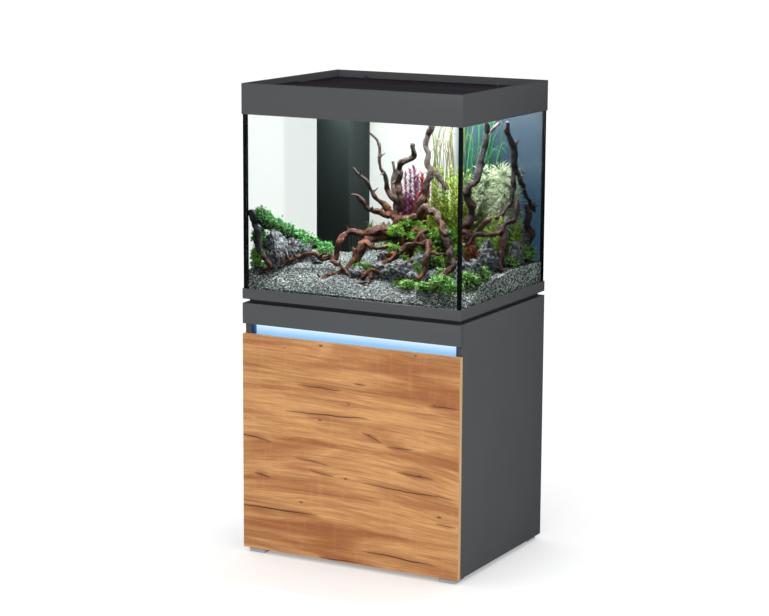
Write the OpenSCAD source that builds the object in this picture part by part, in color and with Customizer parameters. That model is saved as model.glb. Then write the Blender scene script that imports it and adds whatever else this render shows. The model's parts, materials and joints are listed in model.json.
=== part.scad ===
// Planted glass aquarium on a closed cabinet, with a lidded hood and a corner filter shaft.
// Millimetres. X to the right, Y to the back, Z up, origin on the floor under the middle.

/* [Overall] */
// Width of cabinet, tank and hood
overall_w = 700; // [680:10:760]
// Depth of cabinet, tank and hood
overall_d = 550; // [540:10:600]
// Height of the feet
foot_h = 15; // [10:1:20]
// Height of the door
door_h = 635; // [620:5:680]
// Height of the lit finger gap over the door
gap_h = 30; // [26:1:36]
// Height of the fascia over the gap
fascia_h = 60; // [50:1:80]
// Height of the recessed plinth under the tank
plinth_h = 12; // [10:1:20]
// Height of the trim around the tank's base
trim_h = 30; // [26:1:40]
// Height of glass seen between trim and hood
glass_seen_h = 500; // [480:10:600]
// Height of the hood
hood_h = 88; // [84:1:110]

/* [Cabinet] */
// Thickness of the carcass boards
board_t = 16; // [15:1:19]
// Thickness of the door board
door_t = 16; // [15:1:18]
// Free space between the door and the carcass
door_rest = 2; // [2:0.5:3]
// Thickness of the back board
back_t = 8; // [6:1:10]
// Radius of the round outlet in the back board
outlet_r = 30; // [20:1:40]
// Width and height of the cable window in the back board
window_size = [240, 90]; // [80:10:260]

/* [Door hinges] */
// Heights of the door hinges over the floor
hinge_z = [110, 332, 560]; // [100:1:570]
// Radius of the hinge cup
cup_r = 17.5; // [17.5:0.5:18]
// Radius of the hinge pins
hinge_pin_r = 1.5; // [1.2:0.1:1.8]

/* [Tank] */
// Thickness of the glass panes
glass_t = 8; // [6:1:8]
// Inner width of the filter shaft, across the tank
shaft_w = 110; // [110:1:130]
// Inner depth of the filter shaft
shaft_d = 130; // [130:1:140]
// Wall of the filter shaft
shaft_t = 4; // [3:1:5]

/* [Pipework] */
// Outer radius of the riser pipes
pipe_r = 11; // [10:0.5:11]
// Outer radius of the hose tails
tail_r = 8; // [6:0.5:8]
// Running clearance of the ball taps and the nozzle
running = 0.05; // [0.03:0.01:0.1]

/* [Hood] */
// Wall of the hood
hood_wall = 12; // [10:1:14]
// Depth of the lids under the rim
lid_drop = 16; // [14:1:20]
// Travel of the front lid
lid_travel = 150; // [0:10:150]

/* [Hidden] */
$fn = 48;

graphite = "#4c4e51";
white_plastic = "#e8ecee";
black_plastic = "#1f2123";
metal = "#b9bcc0";
glass_tint = [0.8, 0.9, 0.92, 0.25];

half_w = overall_w / 2;
half_d = overall_d / 2;
inner_x = half_w - board_t;
carcass_front = -half_d + door_t + door_rest;
door_back = -half_d + door_t;
back_inner = half_d - back_t;

door_top = foot_h + door_h;
fascia_z = door_top + gap_h;
cabinet_top = fascia_z + fascia_h;
trim_z = cabinet_top + plinth_h;
trim_top = trim_z + trim_h;
hood_z = trim_top + glass_seen_h;
total_h = hood_z + hood_h;

// Tank
trim_wall = 3;
ledge_t = 4;
ledge_w = 32;
plinth_inset = [12, 20];
plinth_rail = 40;
glass_x = half_w - trim_wall;
glass_y = half_d - trim_wall;
tank_x = glass_x - glass_t;
tank_y = glass_y - glass_t;
glass_z = trim_z + ledge_t;
tank_floor = glass_z + glass_t;
glass_top = hood_z + 18;
seam_w = 5;
brace_w = 50;
brace_t = 6;
brace_z = hood_z + 4;
shaft_x = -tank_x + shaft_w;
shaft_y = tank_y - shaft_d;
shaft_top = brace_z - 2;

// Pipework: places of the two bulkheads on the tank floor
suction_at = [-300, 165];
return_at = [-258, 225];
bulkheads = [suction_at, return_at];
flange_r = 22;
nut_hole_r = 26;
top_hole_r = 30;
shank_r = 15;
bore_r = 9;
seal_t = 2;
flange_t = 6;
socket_h = 20;
shank_drop = 24;
shank_bottom = cabinet_top - board_t - shank_drop;
flange_z = tank_floor + seal_t;
socket_z = flange_z + flange_t;
valve_z = shank_bottom - 24;
valve_r = 20;
ball_r = 13;
stem_r = 4;
lever_out = 32;
lever_l = 46;
tail_top = valve_z - 36;
tail_l = 28;
suction_pipe_top = 842;
return_pipe_top = 1240;
nozzle_z = return_pipe_top + 12;
spout_l = 55;
spout_r = 9;

// Hood
rim_z = total_h - lid_drop;
lid_x = half_w - hood_wall;
lid_y = half_d - hood_wall;
lid_t = 4;
rear_lid_t = 3.5;
lid_split = 8;
rail_step = 6;
bar_y = [-80, 120];
bar_w = 36;
bar_h = 14;
bar_z = rim_z - 42;

// Box from ranges of x, y and z
module slab(x, y, z) {
    translate([x[0], y[0], z[0]]) cube([x[1] - x[0], y[1] - y[0], z[1] - z[0]]);
}

// Rectangular ring between an outer and an inner half size
module ring(outer, inner, z) {
    difference() {
        slab([-outer[0], outer[0]], [-outer[1], outer[1]], z);
        slab([-inner[0], inner[0]], [-inner[1], inner[1]], [z[0] - 1, z[1] + 1]);
    }
}

// Cylinder along +X, +Y or +Z from a point
module along_x(p, r, l) { translate(p) rotate([0, 90, 0]) cylinder(r = r, h = l); }
module along_y(p, r, l) { translate(p) rotate([-90, 0, 0]) cylinder(r = r, h = l); }
module along_z(p, r, l) { translate(p) cylinder(r = r, h = l); }

// Copies its children to both sides of the middle plane
module both_sides() {
    children();
    mirror([1, 0, 0]) children();
}

// ---- Cabinet carcass ----

dowel_r = 4;
dowel_y = [-200, 60, 220];
cam_r = 7.5;
cam_h = 11;
cam_y = [-160, 100];
cam_in = 34;
shelf_z = 380;
shelf_y = [-165, 255];
pin_r = 2.5;
pin_y = [-130, 90];

module dowel_set() {
    for (z = [foot_h + board_t / 2, cabinet_top - board_t / 2], y = dowel_y)
        along_x([inner_x - 20, y, z], dowel_r, 30);
}

module cam_set() {
    for (y = cam_y) {
        along_z([inner_x - cam_in, y, foot_h + board_t - cam_h], cam_r, cam_h);
        along_z([inner_x - cam_in, y, cabinet_top - board_t], cam_r, cam_h);
    }
}

module shelf_pin_set() {
    for (y = pin_y) along_x([inner_x - 10, y, shelf_z - pin_r], pin_r, 18);
}

module side_panel() {
    difference() {
        slab([inner_x, half_w], [carcass_front, half_d], [foot_h, cabinet_top]);
        dowel_set();
        shelf_pin_set();
    }
}

module side_panel_right() { color(graphite) side_panel(); }

module side_panel_left() {
    color(graphite) difference() {
        mirror([1, 0, 0]) side_panel();
        hinge_plate_screw_shanks();
    }
}

module bottom_panel() {
    color(graphite) difference() {
        slab([-inner_x, inner_x], [carcass_front, back_inner], [foot_h, foot_h + board_t]);
        both_sides() {
            dowel_set();
            cam_set();
        }
    }
}

module top_panel() {
    color(graphite) difference() {
        slab([-inner_x, inner_x], [carcass_front, back_inner],
            [cabinet_top - board_t, cabinet_top]);
        both_sides() {
            dowel_set();
            cam_set();
        }
        bulkhead_holes(top_hole_r, [cabinet_top - board_t, cabinet_top]);
    }
}

outlet_at = [230, 110];
window_at = [0, 560];

// Long hole with round ends, through the back board
module window_cut() {
    end_r = window_size[1] / 2;
    end_x = window_size[0] / 2 - end_r;
    translate([window_at[0], back_inner - 1, window_at[1]]) {
        slab([-end_x, end_x], [0, back_t + 2], [-end_r, end_r]);
        for (s = [-1, 1]) along_y([s * end_x, 0, 0], end_r, back_t + 2);
    }
}

module back_panel() {
    color(graphite) difference() {
        slab([-inner_x, inner_x], [back_inner, half_d], [foot_h, cabinet_top]);
        along_y([outlet_at[0], back_inner - 1, outlet_at[1]], outlet_r, back_t + 2);
        window_cut();
    }
}

module fascia() {
    color(graphite)
        slab([-half_w, half_w], [-half_d, carcass_front], [fascia_z, cabinet_top]);
}

module cam_locks() { color(metal) both_sides() cam_set(); }

module dowels() { color("#d9b98a") both_sides() dowel_set(); }

module shelf() {
    color(graphite) difference() {
        slab([-inner_x + 1, inner_x - 1], shelf_y, [shelf_z, shelf_z + board_t]);
        slab([-inner_x, -190], [110, 256], [shelf_z - 1, shelf_z + board_t + 1]);
    }
}

module shelf_pins() { color(metal) both_sides() shelf_pin_set(); }

// Square pad under the carcass with a lower lip that reaches out under the door
foot_w = 52;
foot_lip = 9;
foot_lip_h = 11;
module foot() {
    x0 = half_w - 14 - foot_w;
    slab([x0, x0 + foot_w], [0, foot_w], [0, foot_h]);
    slab([x0, x0 + foot_w], [-foot_lip, foot_w], [0, foot_lip_h]);
}

module feet() {
    color(metal) both_sides() {
        translate([0, carcass_front + 1, 0]) foot();
        translate([0, half_d - 3, 0]) mirror([0, 1, 0]) slab(
            [half_w - 14 - foot_w, half_w - 14], [0, foot_w], [0, foot_h]);
    }
}

// ---- Lit finger gap ----

reflector_y = carcass_front + 17;
reflector_t = 2;
rail_z = door_top - 10;
reflector_x = inner_x - 10;
profile_w = 14;
profile_z = fascia_z + 6;
diode_pitch = 30.8;

module gap_rail() {
    color(graphite) slab([-inner_x, inner_x],
        [reflector_y + reflector_t, reflector_y + reflector_t + board_t],
        [rail_z, cabinet_top - board_t]);
}

module gap_reflector() {
    color("#d6ecff") slab([-reflector_x, reflector_x],
        [reflector_y, reflector_y + reflector_t], [rail_z + 4, profile_z + 8]);
}

module gap_end_blocks() {
    color("#2f5f8f") both_sides() slab([reflector_x, inner_x],
        [reflector_y - 8, reflector_y + reflector_t], [rail_z + 4, profile_z + 8]);
}

module led_profile() {
    wall = 1.5;
    color(metal) difference() {
        slab([-reflector_x, reflector_x], [carcass_front, carcass_front + profile_w],
            [profile_z, profile_z + profile_w]);
        slab([-reflector_x - 1, reflector_x + 1],
            [carcass_front + wall, carcass_front + profile_w - wall],
            [profile_z - 1, profile_z + profile_w - wall]);
    }
}

module led_strip() {
    top = profile_z + profile_w - 1.5;
    mid = carcass_front + profile_w / 2;
    color("white") union() {
        slab([-reflector_x + 2, reflector_x - 2], [mid - 4, mid + 4], [top - 1.5, top]);
        for (i = [-10:10]) translate([i * diode_pitch, mid, top - 2])
            cube([3, 3, 1.2], center = true);
    }
}

module led_diffuser() {
    color("white") slab([-reflector_x, reflector_x],
        [carcass_front + 1.5, carcass_front + profile_w - 1.5], [profile_z, profile_z + 2]);
}

// ---- Door and its hinges ----

// Hinge points, measured in from the cabinet's left side and out from the carcass front
arm_pin_at = [32, 9];
cup_pin_at = [12, 6];
arm_pin = [-half_w + arm_pin_at[0], carcass_front - arm_pin_at[1]];
cup_pin = [-half_w + cup_pin_at[0], carcass_front - cup_pin_at[1]];
cup_x = -half_w + 4 + cup_r;
cup_depth = 12.5;
cup_wall = 1.2;
cup_pin_l = 26.4;
ear_z = 22;
ear_t = 1.2;
screw_r = 2;
screw_l = 10;
shank_l = 12;
plate_t = 2.5;
plate_l = 40;
plate_h = 56;
plate_y = carcass_front + 20;
link_h = 5;
link_r = 2.9;
link_w = 3.2;
arm_h = 11;
arm_w = 6;
arm_slot = 0.2;

module cup_bores() {
    for (z = hinge_z) along_y([cup_x, door_back - cup_depth, z], cup_r, cup_depth + 1);
}

module ear_screws() {
    for (z = hinge_z, s = [-1, 1])
        along_y([cup_x + 4, door_back - screw_l, z + s * ear_z], screw_r, screw_l);
}

module door() {
    color("#c98f57") difference() {
        slab([-half_w, half_w], [-half_d, door_back], [foot_h, door_top]);
        cup_bores();
        ear_screws();
    }
}

module door_bumpers() {
    color("#dfe3e5") for (z = [foot_h + 30, foot_h + door_h / 2, door_top - 30])
        along_y([half_w - board_t / 2, door_back, z], 4, door_rest);
}

module hinge_plate_screw_shanks() {
    for (z = hinge_z, s = [-1, 1])
        along_x([-inner_x - shank_l, plate_y + plate_l / 2, z + s * 20], screw_r, shank_l);
}

module hinge_plates() {
    color(metal) union() {
        for (z = hinge_z)
            slab([-inner_x, -inner_x + plate_t], [plate_y, plate_y + plate_l],
                [z - plate_h / 2, z + plate_h / 2]);
        hinge_plate_screw_shanks();
    }
}

// Flat outline of the arm: a bar on the plate and a neck that leans in to the pin
module arm_outline() {
    neck = [-half_w + 24, carcass_front + 14];
    lean = arm_pin - neck;
    difference() {
        union() {
            translate([-inner_x + plate_t, neck[1] - 2]) square([8.5, 56]);
            translate(neck) circle(r = arm_w / 2);
            translate(neck) rotate(atan2(lean[1], lean[0]))
                translate([0, -arm_w / 2]) square([norm(lean), arm_w]);
            translate(arm_pin) circle(r = 3.2);
        }
        translate(arm_pin) circle(r = hinge_pin_r);
    }
}

module hinge_arms() {
    color(metal) for (z = hinge_z) difference() {
        translate([0, 0, z - arm_h / 2]) linear_extrude(arm_h) arm_outline();
        along_z([arm_pin[0], arm_pin[1], z - link_h / 2 - arm_slot], 5, link_h + 2 * arm_slot);
        slab([-half_w, arm_pin[0]], [-half_d, arm_pin[1] + 3],
            [z - link_h / 2 - arm_slot, z + link_h / 2 + arm_slot]);
    }
}

module hinge_arm_pins() {
    color(metal) for (z = hinge_z)
        along_z([arm_pin[0], arm_pin[1], z - arm_h / 2], hinge_pin_r, arm_h);
}

module link_outline() {
    reach = cup_pin - arm_pin;
    difference() {
        union() {
            for (p = [arm_pin, cup_pin]) translate(p) circle(r = link_r);
            translate(arm_pin) rotate(atan2(reach[1], reach[0]))
                translate([0, -link_w / 2]) square([norm(reach), link_w]);
        }
        for (p = [arm_pin, cup_pin]) translate(p) circle(r = hinge_pin_r + running);
    }
}

module hinge_links() {
    color(metal) for (z = hinge_z)
        translate([0, 0, z - link_h / 2]) linear_extrude(link_h) link_outline();
}

module hinge_cups() {
    color(metal) difference() {
        union() {
            for (z = hinge_z) along_y([cup_x, door_back - cup_depth, z], cup_r, cup_depth);
            for (z = hinge_z, s = [-1, 1]) slab([cup_x - 4, cup_x + 14],
                [door_back, door_back + ear_t], [z + s * ear_z - 7, z + s * ear_z + 7]);
            ear_screws();
        }
        for (z = hinge_z) {
            along_y([cup_x, door_back - cup_depth + cup_wall, z], cup_r - cup_wall, cup_depth + 3);
            along_z([cup_pin[0], cup_pin[1], z - cup_r - 1], hinge_pin_r, 2 * cup_r + 2);
        }
    }
}

module hinge_cup_pins() {
    color(metal) for (z = hinge_z)
        along_z([cup_pin[0], cup_pin[1], z - cup_pin_l / 2], hinge_pin_r, cup_pin_l);
}

// ---- Tank ----

module bulkhead_holes(r, z) {
    for (p = bulkheads) along_z([p[0], p[1], z[0] - 1], r, z[1] - z[0] + 2);
}

module plinth() {
    outer = [half_w - plinth_inset[0], half_d - plinth_inset[1]];
    color("#2a2b2d") difference() {
        ring(outer, [outer[0] - plinth_rail, outer[1] - plinth_rail], [cabinet_top, trim_z]);
        bulkhead_holes(nut_hole_r, [cabinet_top, trim_z]);
    }
}

module base_trim() {
    color(graphite) difference() {
        ring([half_w, half_d], [half_w - ledge_w, half_d - ledge_w], [trim_z, trim_top]);
        slab([-glass_x, glass_x], [-glass_y, glass_y], [glass_z, trim_top + 1]);
        bulkhead_holes(nut_hole_r, [trim_z, glass_z]);
    }
}

module foam_mat() {
    color("#101112") difference() {
        slab([-half_w + ledge_w, half_w - ledge_w], [-half_d + ledge_w, half_d - ledge_w],
            [trim_z, glass_z]);
        bulkhead_holes(nut_hole_r, [trim_z, glass_z]);
    }
}

module glass_bottom() {
    color(glass_tint) difference() {
        slab([-tank_x, tank_x], [-tank_y, tank_y], [glass_z, tank_floor]);
        bulkhead_holes(shank_r, [glass_z, tank_floor]);
    }
}

module glass_front() {
    color(glass_tint)
        slab([-glass_x, glass_x], [-glass_y, -tank_y], [glass_z, glass_top]);
}

module glass_back() {
    color(glass_tint)
        slab([-glass_x, glass_x], [tank_y, glass_y], [glass_z, glass_top]);
}

module glass_left() {
    color(glass_tint)
        slab([-glass_x, -tank_x], [-tank_y, tank_y], [glass_z, glass_top]);
}

module glass_right() {
    color(glass_tint)
        slab([tank_x, glass_x], [-tank_y, tank_y], [glass_z, glass_top]);
}

module glass_braces() {
    color(glass_tint) for (s = [0, 1]) mirror([0, s, 0])
        slab([-tank_x, tank_x], [-tank_y, -tank_y + brace_w], [brace_z, brace_z + brace_t]);
}

module silicone_seams() {
    color("#0d0e0f") for (i = [0, 1], j = [0, 1]) mirror([i, 0, 0]) mirror([0, j, 0])
        slab([tank_x - seam_w, tank_x], [tank_y - seam_w, tank_y], [tank_floor, brace_z]);
}

module background_film() {
    color("#a8c4d8") slab([-glass_x + 2, glass_x - 2], [glass_y, glass_y + 0.4],
        [trim_top + 1, hood_z - 1]);
}

// ---- Filter shaft and pipework ----

slot_w = 4;
module filter_shaft() {
    notch = [return_at[1] - 36, return_at[1] + 26];
    color("#2a3130") difference() {
        slab([-tank_x, shaft_x], [shaft_y, tank_y], [tank_floor, shaft_top]);
        slab([-tank_x - 1, shaft_x - shaft_t], [shaft_y + shaft_t, tank_y + 1],
            [tank_floor - 1, shaft_top + 1]);
        slab([shaft_x - shaft_t - 1, shaft_x + 1], notch, [return_pipe_top - 4, shaft_top + 1]);
        for (i = [0:9]) slab([shaft_x - shaft_t - 1, shaft_x + 1],
            [shaft_y + 16 + i * 11, shaft_y + 16 + i * 11 + slot_w], [855, 895]);
    }
}

module bulkhead_bodies() {
    color("#3b3f42") for (p = bulkheads) translate([p[0], p[1], 0]) difference() {
        union() {
            along_z([0, 0, flange_z], flange_r, flange_t);
            along_z([0, 0, socket_z], pipe_r + 3, socket_h);
            along_z([0, 0, shank_bottom], shank_r, flange_z - shank_bottom);
        }
        along_z([0, 0, shank_bottom - 1], bore_r, socket_z - shank_bottom + 2);
        along_z([0, 0, socket_z], pipe_r, socket_h + 1);
    }
}

module bulkhead_seals() {
    color("#151617") for (p = bulkheads) translate([p[0], p[1], tank_floor]) difference() {
        cylinder(r = flange_r, h = seal_t);
        translate([0, 0, -1]) cylinder(r = shank_r, h = seal_t + 2);
    }
}

module bulkhead_nuts() {
    nut_h = 12;
    color("#3b3f42") for (p = bulkheads) translate([p[0], p[1], glass_z - nut_h]) difference() {
        cylinder(r = flange_r + 1, h = nut_h, $fn = 6);
        translate([0, 0, -1]) cylinder(r = shank_r, h = nut_h + 2);
    }
}

// Ball tap under each bulkhead: the ball sits in a round chamber, the hose tail points down
module valve_bodies() {
    color("#6d7276") for (p = bulkheads) translate([p[0], p[1], 0]) difference() {
        union() {
            along_z([0, 0, shank_bottom - 8], shank_r + 4, 20);
            translate([0, 0, valve_z]) sphere(r = valve_r);
            along_y([0, -valve_r - 5, valve_z], stem_r + 4, 12);
            along_z([0, 0, tail_top], 13, valve_z - tail_top);
            along_z([0, 0, tail_top - tail_l], tail_r, tail_l + 1);
        }
        along_z([0, 0, shank_bottom], shank_r, 20);
        along_z([0, 0, tail_top - tail_l - 1], tail_r - 2, shank_bottom - tail_top + tail_l + 2);
        translate([0, 0, valve_z]) sphere(r = ball_r + running);
        along_y([0, -valve_r - 10, valve_z], stem_r + running, 20);
    }
}

// Lever, stem and bored ball of one tap, at rest with the lever hanging down (open)
module tap(p) {
    translate([p[0], p[1], valve_z]) difference() {
        union() {
            sphere(r = ball_r);
            along_y([0, -lever_out, 0], stem_r, lever_out - 10);
            along_y([0, -lever_out, 0], 8, 6);
            slab([-5, 5], [-lever_out, -lever_out + 5], [-lever_l, 0]);
            along_y([0, -lever_out, -lever_l], 6, 6);
        }
        along_z([0, 0, -ball_r - 1], tail_r - 2, 2 * ball_r + 2);
    }
}

module suction_tap() { color("#b33a2e") tap(suction_at); }

module return_tap() { color("#3a6fb3") tap(return_at); }

module suction_pipe() {
    color(white_plastic) translate([suction_at[0], suction_at[1], socket_z]) difference() {
        cylinder(r = pipe_r, h = suction_pipe_top - socket_z);
        translate([0, 0, -1]) cylinder(r = bore_r, h = suction_pipe_top);
    }
}

module suction_strainer() {
    cage_h = 66;
    skirt_h = 16;
    cage_z = suction_pipe_top - skirt_h;
    color(black_plastic) translate([suction_at[0], suction_at[1], cage_z]) difference() {
        cylinder(r = pipe_r + 3, h = cage_h);
        translate([0, 0, -1]) cylinder(r = pipe_r, h = cage_h - 3);
        for (a = [0:45:315]) rotate(a) slab([0, pipe_r + 4], [-2, 2], [skirt_h + 4, cage_h - 6]);
    }
}

module return_pipe() {
    color(white_plastic) translate([return_at[0], return_at[1], socket_z]) difference() {
        cylinder(r = pipe_r, h = return_pipe_top - socket_z);
        translate([0, 0, -1]) cylinder(r = bore_r, h = return_pipe_top);
    }
}

// Elbow that turns on the return pipe, with its spout over the shaft's side wall
module return_nozzle() {
    sleeve = 18;
    color(black_plastic) translate([return_at[0], return_at[1], 0]) difference() {
        union() {
            along_z([0, 0, return_pipe_top - sleeve], pipe_r + 3, sleeve + 26);
            along_x([0, 0, nozzle_z], spout_r, spout_l);
        }
        along_z([0, 0, return_pipe_top - sleeve - 1], pipe_r + running, sleeve + 1);
        along_z([0, 0, return_pipe_top - 1], bore_r, 20);
        along_x([0, 0, nozzle_z], spout_r - 2.5, spout_l + 1);
    }
}

// ---- Hood ----

module hood_frame() {
    color(graphite) difference() {
        slab([-half_w, half_w], [-half_d, half_d], [hood_z, total_h]);
        slab([-glass_x, glass_x], [-glass_y, glass_y], [hood_z - 1, glass_top]);
        slab([-lid_x, lid_x], [-lid_y, lid_y], [hood_z, total_h + 1]);
    }
}

module lid_rails() {
    low = rim_z - lid_t - rear_lid_t - 0.5;
    color(black_plastic) both_sides() union() {
        slab([lid_x - 2 * rail_step, lid_x], [-lid_y, lid_y], [low - 6, low]);
        slab([lid_x - rail_step, lid_x], [-lid_y, lid_y], [low, rim_z - lid_t]);
    }
}

module lid_rear() {
    low = rim_z - lid_t - rear_lid_t - 0.5;
    color("#2e2930") slab([-lid_x + rail_step + 0.5, lid_x - rail_step - 0.5],
        [-lid_split, lid_y - 0.5], [low, low + rear_lid_t]);
}

module lid_knobs() {
    low = rim_z - lid_t - 0.5;
    stop_y = lid_split + lid_travel + 22;
    color("#d8dadc") for (p = [[-233, 240], [235, stop_y]])
        translate([p[0], p[1], low]) union() {
            cylinder(r = 4, h = 7);
            translate([0, 0, 6]) cylinder(r = 6, h = 4);
        }
}

module lid_front() {
    color("#2e2930") slab([-lid_x + 0.5, lid_x - 0.5], [-lid_y + 0.5, lid_split],
        [rim_z - lid_t, rim_z]);
}

module lid_grip() {
    color(graphite) difference() {
        slab([-60, 60], [-lid_y + 14, -lid_y + 30], [rim_z, rim_z + 9]);
        slab([-55, 55], [-lid_y + 20, -lid_y + 31], [rim_z - 1, rim_z + 6]);
    }
}

module light_bars() {
    color(metal) for (y = bar_y)
        slab([-lid_x + 20, lid_x - 20], [y - bar_w / 2, y + bar_w / 2], [bar_z, bar_z + bar_h]);
}

module light_lenses() {
    color("white") for (y = bar_y)
        slab([-lid_x + 22, lid_x - 22], [y - bar_w / 2 + 3, y + bar_w / 2 - 3],
            [bar_z - 3, bar_z]);
}

module light_brackets() {
    color(black_plastic) for (y = bar_y) both_sides() union() {
        slab([lid_x - 3, lid_x], [y - 20, y + 20], [bar_z - 6, bar_z + bar_h]);
        slab([lid_x - 20, lid_x - 2], [y - 12, y + 12], [bar_z + 4, bar_z + 10]);
    }
}

// ---- Planted layout inside the tank ----

// Height of the gravel along the front pane and along the back pane
gravel_front = 806;
gravel_back = 845;

module gravel_bed() {
    color("#2d2f31") difference() {
        translate([-tank_x, 0, 0]) rotate([90, 0, 90]) linear_extrude(2 * tank_x)
            polygon([[-tank_y, tank_floor], [tank_y, tank_floor], [tank_y, gravel_back],
                [-130, 838], [-tank_y, gravel_front]]);
        slab([-tank_x - 1, shaft_x], [shaft_y, tank_y + 1], [tank_floor - 1, gravel_back + 1]);
        for (i = [0, 1], j = [0, 1]) mirror([i, 0, 0]) mirror([0, j, 0])
            slab([tank_x - seam_w, tank_x + 1], [tank_y - seam_w, tank_y + 1],
                [tank_floor - 1, gravel_back + 1]);
    }
}

// Branches of the root wood: points, then the thickness at the first and the last one
wood_main = [
    [[[20, 10, 845], [5, 10, 920], [15, 12, 985]], 26, 18],
    [[[0, 10, 985], [-27, 10, 1050], [-32, 0, 1095], [-65, -40, 1226]], 10, 3],
    [[[8, 20, 1000], [18, 0, 1125], [59, -10, 1155], [74, -20, 1206]], 10, 3],
    [[[30, 20, 985], [80, 40, 1057], [81, 50, 1123], [66, 60, 1180], [80, 60, 1262]], 14, 8],
    [[[0, 10, 980], [-58, -20, 1040], [-107, -60, 1123]], 9, 3],
    [[[40, 0, 990], [105, -40, 1010], [148, -60, 1014], [196, -90, 984]], 10, 7],
    [[[0, -10, 950], [-102, -90, 939], [-125, -120, 880], [-194, -140, 874],
        [-261, -170, 848], [-325, -220, 815]], 12, 4],
    [[[-10, -10, 945], [-56, -100, 901], [-135, -200, 815]], 15, 6],
    [[[50, -20, 965], [130, -80, 943], [178, -160, 862], [155, -200, 825]], 13, 7],
    [[[196, -90, 984], [245, -130, 914], [265, -150, 874], [227, -210, 825]], 8, 5]
];
wood_side = [
    [[[200, 40, 1000], [220, 20, 1084], [240, 50, 1131], [250, 60, 1262]], 10, 5],
    [[[200, 30, 870], [240, 80, 976], [290, 150, 1023], [298, 152, 1130], [300, 95, 1264]],
        12, 4],
    [[[310, 150, 1027], [305, 80, 960], [260, 0, 948], [220, -9, 850]], 8, 6]
];

// One branch: rods between its points, thinning from r0 to r1
module branch(points, r0, r1) {
    last = len(points) - 1;
    for (i = [0:last - 1]) hull() {
        translate(points[i]) sphere(r = r0 + (r1 - r0) * i / last, $fn = 6);
        translate(points[i + 1]) sphere(r = r0 + (r1 - r0) * (i + 1) / last, $fn = 6);
    }
}

module driftwood() {
    color("#6b4636") union() {
        for (b = wood_main) branch(b[0], b[1], b[2]);
        for (b = wood_side) branch(b[0], b[1], b[2]);
    }
}

// A broken stone: two turned blocks in one skin
module rock(p, s, turn) {
    translate(p) rotate(turn) hull() {
        cube([s[0], s[1] * 0.7, s[2] * 0.6], center = true);
        rotate([18, 12, 35]) cube([s[0] * 0.7, s[1] * 0.8, s[2]], center = true);
    }
}

rock_list = [
    [[95, -165, 858], [90, 60, 62], [0, 0, 15]],
    [[40, -150, 850], [60, 46, 44], [0, 12, -20]],
    [[285, 20, 878], [70, 70, 84], [8, 0, 10]],
    [[300, -110, 858], [50, 60, 50], [0, 0, 30]],
    [[-290, -190, 880], [56, 60, 90], [0, 8, 25]],
    [[-270, -60, 868], [50, 60, 56], [0, 0, -15]],
    [[170, 120, 880], [80, 60, 80], [0, 6, 20]]
];

module rocks() {
    color("#5d6468") for (r = rock_list) rock(r[0], r[1], r[2]);
}

// Bushes as balls of leaves, tall stems as cones of leaves
bush_list = [
    [[-300, -230, 905], 30], [[-300, -130, 905], 32], [[-290, 60, 880], 34],
    [[-215, 100, 870], 28], [[40, -60, 985], 26], [[110, -60, 905], 30],
    [[190, -215, 845], 30], [[250, -225, 850], 30], [[310, -220, 850], 22],
    [[300, -30, 875], 26], [[-60, 40, 920], 28], [[300, 190, 890], 34]
];
stem_list = [
    [[20, 90, 850], 24, 34, 250], [[110, 120, 850], 26, 38, 290],
    [[190, 190, 850], 30, 44, 330], [[270, 215, 850], 26, 36, 240],
    [[-80, 150, 850], 20, 30, 200]
];

module plants() {
    color("#4f8a3a") union() {
        for (b = bush_list) translate(b[0]) sphere(r = b[1], $fn = 24);
        for (s = stem_list) translate(s[0]) cylinder(r1 = s[1], r2 = s[2], h = s[3]);
    }
}

side_panel_left();
side_panel_right();
bottom_panel();
top_panel();
back_panel();
fascia();
gap_rail();
gap_reflector();
gap_end_blocks();
led_profile();
led_strip();
led_diffuser();
cam_locks();
dowels();
shelf();
shelf_pins();
feet();
door();
door_bumpers();
hinge_plates();
hinge_arms();
hinge_arm_pins();
hinge_links();
hinge_cups();
hinge_cup_pins();
plinth();
base_trim();
foam_mat();
glass_bottom();
glass_front();
glass_back();
glass_left();
glass_right();
glass_braces();
silicone_seams();
background_film();
filter_shaft();
bulkhead_bodies();
bulkhead_seals();
bulkhead_nuts();
valve_bodies();
suction_tap();
return_tap();
suction_pipe();
suction_strainer();
return_pipe();
return_nozzle();
hood_frame();
lid_rails();
lid_rear();
lid_knobs();
lid_front();
lid_grip();
light_bars();
light_lenses();
light_brackets();
gravel_bed();
driftwood();
rocks();
plants();
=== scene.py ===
"""Looks of a planted aquarium on its cabinet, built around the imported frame. Metres, Z up."""

import json
import math
import random

import bmesh
import bpy
from mathutils import Euler, Matrix, Vector, kdtree, noise


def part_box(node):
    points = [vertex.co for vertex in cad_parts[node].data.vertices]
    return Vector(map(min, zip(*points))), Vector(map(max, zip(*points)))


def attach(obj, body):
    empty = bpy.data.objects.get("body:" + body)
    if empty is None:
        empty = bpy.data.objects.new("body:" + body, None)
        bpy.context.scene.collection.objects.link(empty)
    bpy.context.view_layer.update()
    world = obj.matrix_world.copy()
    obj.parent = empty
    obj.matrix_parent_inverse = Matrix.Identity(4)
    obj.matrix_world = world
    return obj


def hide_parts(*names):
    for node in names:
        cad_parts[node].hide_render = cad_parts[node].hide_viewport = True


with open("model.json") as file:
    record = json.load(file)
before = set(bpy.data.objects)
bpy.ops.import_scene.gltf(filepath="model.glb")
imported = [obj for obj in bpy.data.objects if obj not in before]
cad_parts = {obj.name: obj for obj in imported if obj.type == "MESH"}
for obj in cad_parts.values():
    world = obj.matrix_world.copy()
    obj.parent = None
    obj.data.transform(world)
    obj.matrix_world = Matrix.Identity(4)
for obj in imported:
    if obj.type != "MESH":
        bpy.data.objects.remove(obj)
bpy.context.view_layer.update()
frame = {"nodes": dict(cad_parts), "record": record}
MM = 0.001
TANK = "cabinet_and_tank"
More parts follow.
